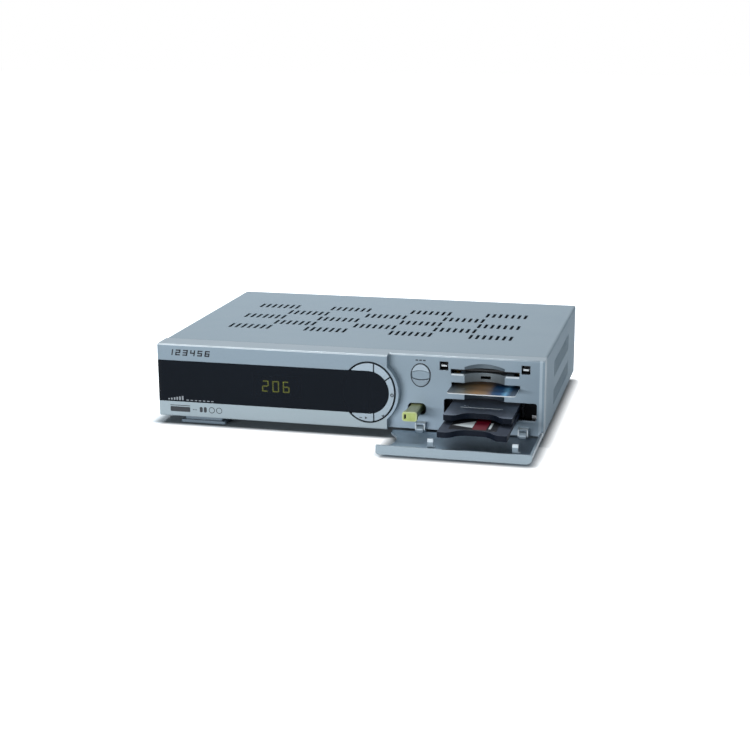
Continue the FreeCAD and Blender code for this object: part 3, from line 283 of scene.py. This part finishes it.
def bezel_material():
    """Silver front frame, with painted light making it paler low down and its top lighter like the cover, painted
    highlights along the top front edge and on the panel's right rim, and painted shade towards the panel's right
    end and in the finger scoop.
    """
    m = paint("bezel_plastic", BEZEL, 0.34, 0.12, 0.3)
    x, y, z = m.axis("X"), m.axis("Y"), m.axis("Z")
    front = m.math("LESS_THAN", y, pt(0, 9.3, 0).y)
    # painted light: the front face turns paler low down
    pale = m.mix(m.math("GREATER_THAN", x, 0.035), m.grainy(GRAIN, lin(162, 176, 183), lin(168, 182, 189)),
                 m.grainy(GRAIN, lin(155, 173, 188), lin(161, 179, 194)))
    face = m.mix(m.map_range(z, 0.058, 0.016, smooth=True), m.mottle(GRAIN, 0.05), pale)
    # painted light: the top face is lighter than the front, like the cover's top
    top = m.grainy(GRAIN, scaled(COVER, 1.03), scaled(COVER, 1.13))
    c = m.mix(m.math("GREATER_THAN", z, 0.0679), face, top)
    # painted highlight along the top front edge, fading towards the right
    edge_highlight = m.times(m.between(z, 0.0669, 0.06797), front, m.map_range(m.noise(90.0), 0.0, 1.0, 0.55, 1.0),
                   m.map_range(x, -0.16, 0.16, 1.0, 0.35))
    c = m.mix(edge_highlight, c, lin(232, 241, 246))
    # painted shade on the panel towards its right end
    right_end_shade = m.map_range(x, 0.128, 0.154, 0.0, 0.7, smooth=True)
    c = m.mix(m.times(front, right_end_shade), c, lin(119, 136, 149))
    # painted highlight on the panel's rounded right rim
    c = m.mix(m.times(front, m.between(x, 0.1560, 0.1582), 0.6), c, lin(176, 190, 200))
    side = m.times(m.math("GREATER_THAN", m.facing("X"), 0.5), m.math("GREATER_THAN", x, 0.157))
    c = m.mix(side, c, m.grainy(GRAIN, scaled(COVER, 0.95), scaled(COVER, 1.05)))
    m.link(m.math("SUBTRACT", 0.3, m.times(side, 0.27)), m.bsdf.inputs["Specular IOR Level"])
    # painted shade in the finger scoop, darkest at its bottom and under the top of its arch
    scoop_low, scoop_high = 0.0330, 0.0640
    scoop = m.times(m.between(x, 0.0958, 0.1290), m.math("GREATER_THAN", y, pt(0, 8.35, 0).y),
                    m.between(z, scoop_low, scoop_high))
    shade = m.ramp(m.map_range(z, scoop_low, scoop_high), [
        (0.0, lin(42, 52, 62)), (0.30, lin(52, 62, 72)), (0.42, lin(96, 104, 108)), (0.66, lin(106, 116, 122)),
        (0.76, lin(98, 111, 120)), (0.88, lin(92, 106, 116)), (0.97, lin(42, 50, 58))])
    m.link(m.mix(scoop, c, shade), m.bsdf.inputs["Base Color"])
    return m.mat


def button_material():
    """Caps painted bright as painted highlight; painted shade makes the lower one of the oval pair darker."""
    m = paint("button_silver", lin(160, 175, 186), 0.28, 0.15)
    # painted shade on the lower cap of the oval pair
    low = m.times(m.between(m.axis("X"), 0.050, 0.072), m.between(m.axis("Z"), 0.038, 0.051))
    m.link(m.mix(low, m.mottle(GRAIN, 0.05), lin(130, 145, 157)), m.bsdf.inputs["Base Color"])
    return m.mat


def module_material():
    """Dark plastic shell with painted light greying its top faces, and painted shade keeping the lower module's
    top darker beneath the upper one.
    """
    m = Mat("module_charcoal", lin(12, 20, 32), 0.46, 0.0, 0.08)
    sides = m.mottle(1400.0, 0.15)
    # painted light on the top faces; painted shade on the lower module's top, beneath the upper module
    upper = m.grainy(1400.0, lin(101, 109, 124), lin(114, 123, 138), 3.0)
    lower = m.grainy(1400.0, lin(54, 60, 72), lin(64, 71, 84), 3.0)
    top = m.mix(m.math("GREATER_THAN", m.axis("Z"), 0.028), lower, upper)
    m.link(m.mix(m.math("GREATER_THAN", m.facing("Z"), 0.6), sides, top), m.bsdf.inputs["Base Color"])
    m.rough_noise(60.0, 0.36, 0.50)
    m.bump(m.noise(1400.0), 0.00004, 0.5, 0.0004)
    return m.mat


def circuit_material():
    """Green board with a fine grid of tracks."""
    m = Mat("circuit_green", lin(28, 84, 48), 0.38)
    m.mottle(160.0, 0.12)
    tracks = m.node("ShaderNodeTexBrick", Scale=120.0)
    tracks.inputs["Mortar Size"].default_value = 0.03
    m.link(m.place(), tracks.inputs["Vector"])
    m.bump(tracks.outputs["Fac"], 0.00003, 0.6)
    return m.mat


def window_material():
    """Dark smoked plastic that lets a little of the display show."""
    m = Mat("window_plastic", lin(15, 22, 31), 0.14, 0.0, 0.07)
    m.mottle(18.0, 0.06)
    m.rough_noise(30.0, 0.12, 0.20)
    m.bump(m.noise(900.0), 0.000004, 0.2, 0.0003)
    m.bsdf.inputs["Alpha"].default_value = 0.96
    return m.mat


def digit_material():
    """Lit strokes, strong enough to show through the dark window."""
    m = Mat("digit_green", lin(150, 160, 40), 0.4)
    m.link(m.grainy(1500.0, lin(160, 168, 52), lin(192, 198, 84)), m.bsdf.inputs["Emission Color"])
    m.bsdf.inputs["Emission Strength"].default_value = 150.0
    return m.mat


def card_material():
    """Printed smart card: dark, warm, then blue along its width with a painted highlight in the blue, on a white
    core that shows at its edges.
    """
    m = Mat("card_plastic", lin(110, 90, 80), 0.32, 0.0, 0.25, 0.1)
    lo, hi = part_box("smart_card")
    across = m.math("MULTIPLY_ADD", m.noise(60.0, 3.0), 0.14, m.map_range(m.axis("X"), lo.x, hi.x))
    # print colours; the pale blue stop at 0.93 is a painted highlight
    c = m.ramp(across, [
        (0.05, lin(38, 44, 52)), (0.17, lin(54, 56, 56)), (0.30, lin(100, 92, 74)), (0.50, lin(160, 122, 82)),
        (0.64, lin(150, 122, 96)), (0.72, lin(28, 66, 104)), (0.86, lin(24, 78, 130)), (0.93, lin(112, 176, 214)),
        (0.97, lin(44, 96, 140)), (1.06, lin(30, 50, 72))])
    printed = m.math("GREATER_THAN", m.axis("Z"), hi.z - 0.00002)
    m.link(m.mix(printed, lin(226, 230, 232), c), m.bsdf.inputs["Base Color"])
    m.bump(m.noise(900.0), 0.00001, 0.3)
    return m.mat


def stick_material():
    """Olive body with painted light on its top faces, a lighter yellow-green cap with a painted highlight on its
    rim, and painted shade for its lanyard eye.
    """
    m = Mat("stick_green", lin(140, 150, 100), 0.34, 0.0, 0.45)
    lo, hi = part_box("usb_stick")
    mid = (lo + hi) / 2
    x, y, z = m.axis("X"), m.axis("Y"), m.axis("Z")
    aside = m.math("DIVIDE", m.math("ABSOLUTE", m.math("SUBTRACT", x, mid.x)), (hi.x - lo.x) / 2)
    above = m.math("DIVIDE", m.math("ABSOLUTE", m.math("SUBTRACT", z, mid.z)), (hi.z - lo.z) / 2)
    # painted highlight on the rim of the cap
    rim = m.math("GREATER_THAN", m.math("MAXIMUM", aside, above), 0.80)
    front = m.mix(rim, m.grainy(300.0, lin(182, 196, 112), lin(200, 212, 130)), lin(206, 216, 158))
    # painted light: the top faces are lighter than the sides
    body = m.mix(m.math("GREATER_THAN", m.facing("Z"), 0.6),
                 m.grainy(500.0, lin(96, 112, 78), lin(112, 128, 92)),
                 m.grainy(500.0, lin(166, 172, 122), lin(184, 190, 138)))
    c = m.mix(m.math("LESS_THAN", y, lo.y + 0.0012), body, front)
    # painted shade for the lanyard eye
    eye = m.times(m.between(y, lo.y + 0.0014, lo.y + 0.0028), m.between(z, mid.z - 0.0018, mid.z + 0.0018),
                  m.between(x, mid.x - 0.0046, mid.x - 0.0026))
    m.link(m.mix(eye, c, lin(16, 22, 12)), m.bsdf.inputs["Base Color"])
    m.rough_noise(60.0, 0.28, 0.40)
    m.bump(m.noise(1500.0), 0.00002, 0.4, 0.0003)
    return m.mat


COVER = lin(134, 151, 163)
BEZEL = lin(136, 152, 164)
M = {
    "cover_paint": cover_material(),
    "bezel_plastic": bezel_material(),
    "door_plastic": door_material(),
    "button_silver": button_material(),
    "foot_silver": paint("foot_silver", lin(98, 114, 127), 0.36, 0.15).mat,
    "module_charcoal": module_material(),
    "circuit_green": circuit_material(),
    "window_plastic": window_material(),
    "digit_green": digit_material(),
    "card_plastic": card_material(),
    "stick_green": stick_material(),
}
for name, color, rough, look in (
        ("tray_steel", (186, 190, 194), 0.32, {}),
        ("rear_steel", (146, 151, 156), 0.42, {"stretch": (14.0, 1.0, 1.0)}),
        ("socket_steel", (172, 175, 179), 0.28, {}),
        ("pin_steel", (190, 192, 195), 0.25, {}),
        ("screw_steel", (156, 159, 164), 0.3, {}),
        ("can_steel", (192, 196, 200), 0.3, {}),
        ("cage_steel", (34, 36, 40), 0.5, {}),
        ("heat_sink", (188, 190, 192), 0.38, {}),
        ("connector_chrome", (178, 179, 183), 0.2, {}),
        ("contact_brass", (214, 176, 92), 0.26, {}),
        ("standoff_brass", (200, 164, 88), 0.3, {}),
        ("trim_bright", (226, 234, 240), 0.25, {})):
    M[name] = metal(name, lin(*color), rough, **look)
for name, color, rough, look in (
        ("socket_black", (22, 23, 26), 0.45, {}),
        ("reader_black", (28, 30, 34), 0.5, {}),
        ("switch_black", (24, 25, 28), 0.5, {}),
        ("chip_black", (20, 20, 22), 0.55, {}),
        ("display_black", (10, 11, 13), 0.6, {}),
        ("rocker_black", (18, 18, 20), 0.3, {}),
        ("plunger_white", (225, 230, 233), 0.4, {"amount": 0.03}),
        ("pad_rubber", (24, 24, 24), 0.8, {"grain": 900.0, "depth": 0.00008}),
        ("fuse_ceramic", (220, 217, 206), 0.35, {"amount": 0.04}),
        ("ribbon_grey", (150, 151, 155), 0.5, {}),
        ("collar_yellow", (214, 170, 30), 0.35, {"amount": 0.05}),
        ("transformer_tape", (196, 158, 52), 0.4, {}),
        ("capacitor_sleeve", (34, 40, 70), 0.35, {}),
        ("circuit_tan", (176, 146, 94), 0.5, {}),
        ("label_paper", (24, 25, 30), 0.3, {"amount": 0.06}),
        ("print_white", (206, 214, 216), 0.4, {"amount": 0.03}),
        ("print_grey", (150, 156, 162), 0.4, {"amount": 0.05}),
        ("print_red", (98, 2, 26), 0.35, {"amount": 0.08}),
        # gauze_black and gauze_grey colour the dark sheets that paint shade behind the ventilation slots
        ("gauze_black", (14, 19, 26), 0.9, {"grain": 700.0, "depth": 0.0001, "spec": 0.1}),
        ("gauze_grey", (62, 74, 84), 0.9, {"grain": 700.0, "depth": 0.0001, "spec": 0.1}),
        # seal_black colours the black sheets that paint shade behind the button gaps and in the module bay
        ("seal_black", (12, 14, 18), 0.8, {"grain": 900.0, "depth": 0.00005, "spec": 0.15}),
        # lip_white colours the painted highlights on the slot lip and bracket caps, and the bright ridge on the
        # upper module
        ("lip_white", (214, 224, 230), 0.35, {"amount": 0.03}),
        ("ink_dark", (20, 28, 36), 0.5, {"amount": 0.05})):
    M[name] = moulded(name, lin(*color), rough, **look)

for entry in frame["record"]["subparts"]:
    obj = NODES[entry["node"]]
    obj.data.materials.clear()
    obj.data.materials.append(M[entry["material_slot"]])


def mesh_object(name, bm, mat):
    """Object in the scene from a bmesh, which is used up."""
    mesh = bpy.data.meshes.new(name)
    bm.normal_update()
    bm.to_mesh(mesh)
    bm.free()
    obj = bpy.data.objects.new(name, mesh)
    bpy.context.scene.collection.objects.link(obj)
    mesh.materials.append(mat)
    return obj


def add_solid(bm, near, far):
    """Closed solid between two outlines of as many points."""
    near = [bm.verts.new(p) for p in near]
    far = [bm.verts.new(p) for p in far]
    bm.faces.new(near)
    bm.faces.new(far[::-1])
    for i in range(len(near)):
        j = (i + 1) % len(near)
        bm.faces.new((near[j], near[i], far[i], far[j]))


def add_prism(bm, outline, low, high):
    """Upright solid in working millimetres: outline gives (x, y) and low and high give z."""
    add_solid(bm, [pt(x, y, low) for x, y in outline], [pt(x, y, high) for x, y in outline])


def add_front_prism(bm, outline, near, far):
    """Solid in working millimetres that faces the front: outline gives (x, z) and near and far give y."""
    add_solid(bm, [pt(x, near, z) for x, z in outline], [pt(x, far, z) for x, z in outline])


def rect(x0, x1, y0, y1, cut=0.0):
    """Corner points of a rectangle, with its corners cut off."""
    if not cut:
        return [(x0, y0), (x1, y0), (x1, y1), (x0, y1)]
    return [(x0 + cut, y0), (x1 - cut, y0), (x1, y0 + cut), (x1, y1 - cut),
            (x1 - cut, y1), (x0 + cut, y1), (x0, y1 - cut), (x0, y0 + cut)]


def finish_piece(name, bm, mat, body, bevel=0.0):
    """Object from the bmesh that rides on a body; bevel in millimetres rounds its edges."""
    bmesh.ops.recalc_face_normals(bm, faces=bm.faces)
    obj = mesh_object(name, bm, mat)
    if bevel:
        mod = obj.modifiers.new("edges", "BEVEL")
        mod.width = bevel * MM
        mod.segments = 2
        mod.limit_method = "ANGLE"
    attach(obj, body)
    return obj


def join_rings(bm, rings):
    """Faces between each two neighbours of a row of rings with as many points."""
    for near, far in zip(rings, rings[1:]):
        for i in range(len(near)):
            j = (i + 1) % len(near)
            bm.faces.new((near[i], near[j], far[j], far[i]))


def oval_ring(bm, centre, outer, inner, near, far, steps=72):
    """Flat oval ring that faces the front, in working millimetres; outer and inner give its radii."""
    turns = [2 * math.pi * i / steps for i in range(steps)]
    rings = [[bm.verts.new(pt(centre[0] + rx * math.cos(a), y, centre[1] + rz * math.sin(a))) for a in turns]
             for (rx, rz), y in ((outer, near), (inner, near), (inner, far), (outer, far))]
    join_rings(bm, rings + rings[:1])


def ring_mark(bm, centre, outer, inner, depths, start=0.0, sweep=360.0, steps=28):
    """Arc of a flat ring that faces the front."""
    a = [math.radians(start + sweep * i / steps) for i in range(steps + 1)]
    for i in range(steps):
        corners = [(centre[0] + r * math.cos(t), centre[1] + r * math.sin(t)) for r, t in
                   ((outer, a[i]), (outer, a[i + 1]), (inner, a[i + 1]), (inner, a[i]))]
        add_front_prism(bm, corners, *depths)


def rounded_section(cx, y, cz, wide, tall, r, steps=5):
    """Points of a rounded rectangle that faces the front."""
    points = []
    for sx, sz, start in ((1, 1, 0), (-1, 1, 90), (-1, -1, 180), (1, -1, 270)):
        for i in range(steps + 1):
            a = math.radians(start + 90.0 * i / steps)
            points.append(pt(cx + sx * (wide / 2 - r) + r * math.cos(a), y,
                             cz + sz * (tall / 2 - r) + r * math.sin(a)))
    return points


STROKES = {"1": "bc", "2": "abged", "3": "abgcd", "4": "fgbc", "5": "afgcd", "6": "afgcde"}


def add_number(bm, digits, left, low, depths):
    """Plain slanted digits of straight strokes, as raised ink on a front face."""
    wide, tall, pitch, line, lean = 4.2, 5.0, 6.4, 1.1, 0.18
    mid, high = low + tall / 2, low + tall
    for i, digit in enumerate(digits):
        x0 = left + i * pitch
        x1 = x0 + wide
        bars = {"a": (x0, x1, high - line, high), "g": (x0, x1, mid - line / 2, mid + line / 2),
                "d": (x0, x1, low, low + line), "f": (x0, x0 + line, mid, high),
                "b": (x1 - line, x1, mid, high), "e": (x0, x0 + line, low, mid), "c": (x1 - line, x1, low, mid)}
        for key in STROKES[digit]:
            a, b, c, d = bars[key]
            slope = [(x + lean * (z - low), z) for x, z in ((a, c), (b, c), (b, d), (a, d))]
            add_front_prism(bm, slope, *depths)


# printing on the lower module: a triangle, a block and a narrow stripe
LABEL_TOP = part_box("module_label")[1].z / MM
for name, outline, ink, rise in (
        ("label_triangle", [(94.6, -32.6), (111.0, -37.6), (111.0, -18.9)], "print_white", 0.06),
        ("label_block", rect(111.3, 122.2, -42.0, -12.0, 0.4), "print_red", 0.05),
        ("label_stripe", rect(123.4, 125.3, -38.5, -22.0, 0.3), "print_white", 0.06)):
    bm = bmesh.new()
    add_prism(bm, outline, LABEL_TOP - 0.05, LABEL_TOP + rise)
    finish_piece(name, bm, M[ink], "module_lower")

# bright ridge and two small marks on the upper module
MODULE_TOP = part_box("ci_module_upper")[1].z / MM
bm = bmesh.new()
add_prism(bm, rect(95.6, 129.2, -4.4, -3.1, 0.2), MODULE_TOP - 0.1, MODULE_TOP + 0.15)
finish_piece("module_ridge", bm, M["lip_white"], "module_upper")
bm = bmesh.new()
for x in (97.5, 100.6):
    add_prism(bm, rect(x, x + 1.5, 0.6, 1.9, 0.2), MODULE_TOP - 0.1, MODULE_TOP + 0.06)
finish_piece("module_marks", bm, M["trim_bright"], "module_upper")

# dark sheets behind the ventilation slots, painted shade that keeps them dark, held off the cover sheet by a
# folded rim
bm = bmesh.new()
add_prism(bm, rect(-134.0, 142.0, 66.0, 182.0, 3.0), 66.1, 66.5)
for y in (66.0, 180.0):
    add_prism(bm, rect(-130.0, 138.0, y, y + 2.0), 66.4, 66.9)
finish_piece("top_vent_shade", bm, M["gauze_black"], "case")
for side, name in ((-1, "left_vent_shade"), (1, "right_vent_shade")):
    bm = bmesh.new()
    add_prism(bm, rect(*sorted((side * 157.9, side * 158.3)), 66.0, 180.0), 13.8, 57.0)
    for y in (66.0, 178.0):
        add_prism(bm, rect(*sorted((side * 158.2, side * 158.9)), y, y + 2.0), 20.5, 56.5)
    finish_piece(name, bm, M["gauze_grey"], "case")

# black sheet behind the ring of buttons, painted shade that keeps the gaps between them dark
RING = (19.7, 36.7)  # x and z of its middle
bm = bmesh.new()
oval_ring(bm, RING, (22.4, 25.3), (17.6, 18.4), 7.25, 7.75)
oval_ring(bm, RING, (22.55, 25.45), (22.1, 25.0), 1.2, 7.3)
finish_piece("ring_gap_shade", bm, M["seal_black"], "case")

# black sheet behind the two channel buttons, painted shade for the gaps around them
CHANNEL = (60.9, 51.3)  # x and z of the oval pair's middle
bm = bmesh.new()
oval_ring(bm, CHANNEL, (8.6, 10.2), (6.6, 8.2), 13.2, 13.6)
oval_ring(bm, CHANNEL, (8.05, 9.65), (7.75, 9.35), 9.6, 13.3)
finish_piece("channel_gap_shade", bm, M["seal_black"], "case")

# painted highlight: a bright lip under the upper card slot, outside the finger scoop
bm = bmesh.new()
for x0, x1 in ((85.4, 95.6), (129.2, 140.0)):
    add_front_prism(bm, rect(x0, x1, 52.5, 54.05), 8.06, 9.0)
finish_piece("slot_lip_highlight", bm, M["lip_white"], "case", 0.15)

# painted highlights: bright caps on the roofs and cheeks of the hinge brackets
BRACKET_X = (61.6, 144.5)
bm = bmesh.new()
for x in BRACKET_X:
    add_prism(bm, rect(x - 4.1, x + 4.1, 2.7, 7.8, 0.5), 12.95, 13.15)
    for side in (-1, 1):
        add_front_prism(bm, rect(*sorted((x + side * 3.0, x + side * 4.1)), 7.7, 12.9), 2.12, 2.4)
finish_piece("bracket_highlights", bm, M["lip_white"], "case")

# black sheets in the module bay, beside the guides, painted shade for its dark inside
bm = bmesh.new()
for x0, x1 in ((78.0, 83.9), (143.0, 156.5)):
    add_front_prism(bm, rect(x0, x1, 16.0, 35.5), 21.6, 22.2)
add_prism(bm, rect(143.2, 155.5, 11.0, 21.8), 15.6, 16.1)
finish_piece("bay_shade_sheet", bm, M["seal_black"], "case")

# stick: bright cap with a lanyard eye, and a body that narrows behind it and widens again at its plug
STICK_X, STICK_Z = 57.3, 23.5
bm = bmesh.new()
sections = [(STICK_X - 3.6, y, 1.7, 3.6, 0.25) for y in (-15.0, -17.5)]
sections += [(STICK_X, *row) for row in (
    (-17.5, 11.8, 7.3, 1.9), (-17.25, 12.3, 7.8, 2.15), (-16.9, 12.4, 7.9, 2.2), (-14.6, 12.4, 7.9, 2.2),
    (-14.2, 11.7, 7.3, 2.0), (-2.0, 10.3, 6.7, 1.9), (5.0, 9.8, 6.5, 1.8), (12.0, 9.8, 6.5, 1.8),
    (17.0, 12.4, 7.9, 2.2), (22.5, 12.4, 7.9, 2.2))]
rings = [[bm.verts.new(p) for p in rounded_section(x, y, STICK_Z, wide, tall, r)]
         for x, y, wide, tall, r in sections]
join_rings(bm, rings)
bm.faces.new(rings[0])
bm.faces.new(rings[-1])
stick = finish_piece("stick_body", bm, M["stick_green"], "stick")
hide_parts("usb_stick")

# small generic marks printed on the ring buttons; ink gives the y of its near and far faces
CAP_INK = (-0.36, -0.2)
bm = bmesh.new()
ring_mark(bm, (39.2, 35.4), 1.5, 0.85, CAP_INK, 120.0, 300.0)
for outline in (rect(38.9, 39.5, 35.4, 37.4), [(30.2, 17.9), (32.6, 16.7), (32.6, 19.1)]):
    add_front_prism(bm, outline, *CAP_INK)
finish_piece("ring_marks_right", bm, M["ink_dark"], "button_right")
bm = bmesh.new()
for outline in (rect(12.0, 14.4, 15.2, 15.7), [(16.8, 14.3), (18.9, 15.4), (16.8, 16.5)]):
    add_front_prism(bm, outline, *CAP_INK)
finish_piece("ring_marks_bottom", bm, M["ink_dark"], "button_bottom")

# plain number and small generic marks on the front frame, above the channel buttons and on the window
FRONT_INK, PANEL_INK = (-0.06, 0.04), (7.94, 8.04)
bm = bmesh.new()
add_number(bm, "123456", -151.0, 58.6, FRONT_INK)
blocks = [rect(-150.4, -133.0, 10.6, 14.8, 0.5), rect(-150.4, -133.0, 15.6, 16.2)]
blocks += [rect(x, x + 1.4, 12.6, 13.2) for x in (-130.6, -128.6)]
blocks += [rect(x, x + 2.6, 11.0, 15.6, 0.7) for x in (-124.6, -121.0)]
for outline in blocks:
    add_front_prism(bm, outline, *FRONT_INK)
for x in (-114.0, -107.6):
    ring_mark(bm, (x, 13.3), 2.6, 2.1, FRONT_INK)
finish_piece("front_marks", bm, M["ink_dark"], "case")
bm = bmesh.new()
for x in (56.6, 59.6, 62.6):
    add_front_prism(bm, rect(x, x + 2.2, 63.0, 64.0), *PANEL_INK)
oval_ring(bm, CHANNEL, (8.3, 9.9), (7.8, 9.4), 7.92, 8.04)
finish_piece("channel_marks", bm, M["ink_dark"], "case")
bm = bmesh.new()
bars = [rect(-152.0 + 2.4 * i, -150.6 + 2.4 * i, 20.4, 21.6 + 0.5 * i) for i in range(6)]
dashes = [rect(-136.0 + 3.6 * i, -133.8 + 3.6 * i, 20.4, 21.2) for i in range(7)]
for outline in bars + dashes:
    add_front_prism(bm, outline, *FRONT_INK)
finish_piece("window_marks", bm, M["print_grey"], "case")

# stage: a floor that shows white to the eye and in reflections, and its own shaded grey near the part, with
# painted shade where it meets the case
floor_mesh = bpy.data.meshes.new("floor")
floor_bm = bmesh.new()
bmesh.ops.create_grid(floor_bm, x_segments=8, y_segments=8, size=6.0)
floor_bm.to_mesh(floor_mesh)
floor_bm.free()
floor = bpy.data.objects.new("floor", floor_mesh)
bpy.context.scene.collection.objects.link(floor)
floor_look = Mat("floor_look", (0.68, 0.74, 0.78, 1.0), 0.9, 0.0, 0.0)


def beyond(owner, x0, x1, y0, y1):
    """Distance of a floor point from a flat box that goes with a CAD node, in metres, counted less along X."""
    place = floor_look.node("ShaderNodeTexCoord")
    place.object = NODES[owner]
    squares = 0.0
    for name, low, high, weight in (("X", x0, x1, 0.72), ("Y", y0, y1, 1.0), ("Z", -0.004, 0.02, 1.0)):
        away = floor_look.math("SUBTRACT", floor_look.part_of(place.outputs["Object"], name), (low + high) / 2)
        away = floor_look.math("SUBTRACT", floor_look.math("ABSOLUTE", away), (high - low) / 2)
        part = floor_look.times(floor_look.math("MAXIMUM", away, 0.0), weight)
        squares = floor_look.math("MULTIPLY_ADD", part, part, squares)
    return floor_look.math("SQRT", squares)


case_reach = beyond("top_cover", -0.16, 0.1545, -0.0865, 0.125)
door_reach = beyond("door_panel", 0.045, 0.153, -0.1365, -0.09)
# painted shade: the floor darkens to grey-blue within 6 mm of the case
painted_contact_shade = floor_look.map_range(case_reach, 0.006, 0.0, smooth=True)
floor_look.link(floor_look.mix(painted_contact_shade, floor_look.mottle(3.0, 0.003), (0.36, 0.40, 0.43, 1.0)),
                floor_look.bsdf.inputs["Base Color"])
# shaded up to SHADOW_FROM metres from the part and fully white halfway to SHADOW_TO
SHADOW_FROM, SHADOW_TO = 0.001, 0.018
nearest = floor_look.math("MINIMUM", case_reach, door_reach)
glow = floor_look.map_range(nearest, SHADOW_FROM, SHADOW_TO, 0.0, 2.0, smooth=True)
ray = floor_look.node("ShaderNodeLightPath").outputs
mirrored = floor_look.math("MAXIMUM", ray["Is Glossy Ray"], ray["Is Transmission Ray"])
floor_look.link(floor_look.times(floor_look.math("MINIMUM", glow, 1.0),
                                 floor_look.math("MAXIMUM", ray["Is Camera Ray"], mirrored)),
                floor_look.bsdf.inputs["Emission Strength"])
floor_look.bsdf.inputs["Emission Color"].default_value = (1.0, 1.0, 1.0, 1.0)
floor_mesh.materials.append(floor_look.mat)
floor.location = (0, 0, -0.2 * MM)

# world: a dim bluish fill for the object, white where it is seen straight, in reflections or through glass
world = bpy.data.worlds.new("studio")
bpy.context.scene.world = world
world.use_nodes = True
nodes, links = world.node_tree.nodes, world.node_tree.links
fill = nodes["Background"]
fill.inputs["Color"].default_value = (0.90, 0.96, 1.0, 1.0)
fill.inputs["Strength"].default_value = 0.05
white = nodes.new("ShaderNodeBackground")
white.inputs["Color"].default_value = (1.0, 1.0, 1.0, 1.0)
white.inputs["Strength"].default_value = 1.0
ray = nodes.new("ShaderNodeLightPath").outputs
mirrored, seen = nodes.new("ShaderNodeMath"), nodes.new("ShaderNodeMath")
mirrored.operation = seen.operation = "MAXIMUM"
either = nodes.new("ShaderNodeMixShader")
for source, target in (
        (ray["Is Glossy Ray"], mirrored.inputs[0]), (ray["Is Transmission Ray"], mirrored.inputs[1]),
        (ray["Is Camera Ray"], seen.inputs[0]), (mirrored.outputs[0], seen.inputs[1]),
        (seen.outputs[0], either.inputs[0]), (fill.outputs[0], either.inputs[1]),
        (white.outputs[0], either.inputs[2]), (either.outputs[0], nodes["World Output"].inputs["Surface"])):
    links.new(source, target)

# lamps: name, place, aim, size, watts, colour
for name, place, target, size, power, color in (
        ("key", (-0.33, 0.75, 1.32), (0, 0, 0.03), (0.6, 0.35), 16.6, (0.92, 0.97, 1.0)),
        ("front", (-0.45, -1.7, 0.20), (0, 0, 0.03), (1.3, 0.2), 18.5, (0.945, 0.974, 0.995)),
        ("line", (-0.1, -0.28, 1.25), (0, -0.1, 0.06), (1.6, 0.12), 3.0, (1.0, 1.0, 1.0)),
        ("side", (1.5, -0.2, 0.30), (0.16, 0, 0.03), (0.6, 0.4), 2.6, (0.74, 0.90, 1.0))):
    data = bpy.data.lights.new(name, "AREA")
    data.shape = "RECTANGLE"
    data.size, data.size_y = size
    data.energy = power
    data.color = color
    lamp = bpy.data.objects.new(name, data)
    lamp.location = place
    lamp.rotation_euler = (Vector(target) - Vector(place)).to_track_quat("-Z", "Y").to_euler()
    bpy.context.scene.collection.objects.link(lamp)

# camera, fitted to the corners of the case in the photograph; angles in radians
YAW, PITCH, ROLL = 0.241727, 0.250807, -0.004574
FOCAL_PIXELS, IMAGE_PIXELS = 1449.218, 750.0
cam_data = bpy.data.cameras.new("camera")
cam = bpy.data.objects.new("camera", cam_data)
bpy.context.scene.collection.objects.link(cam)
cam_data.sensor_width = 36.0
cam_data.lens = cam_data.sensor_width * FOCAL_PIXELS / IMAGE_PIXELS
cam_data.clip_end = 50.0
look = Vector((-math.sin(YAW) * math.cos(PITCH), math.cos(YAW) * math.cos(PITCH), -math.sin(PITCH)))
level = look.cross(Vector((0, 0, 1))).normalized()
upright = level.cross(look)
right = level * math.cos(ROLL) + upright * math.sin(ROLL)
up = upright * math.cos(ROLL) - level * math.sin(ROLL)
turn = Matrix((right, up, -look)).transposed().to_4x4()
turn.translation = pt(293.718, -1089.012, 338.747)
cam.matrix_world = turn
bpy.context.scene.camera = cam
bpy.context.scene.view_settings.view_transform = "Standard"
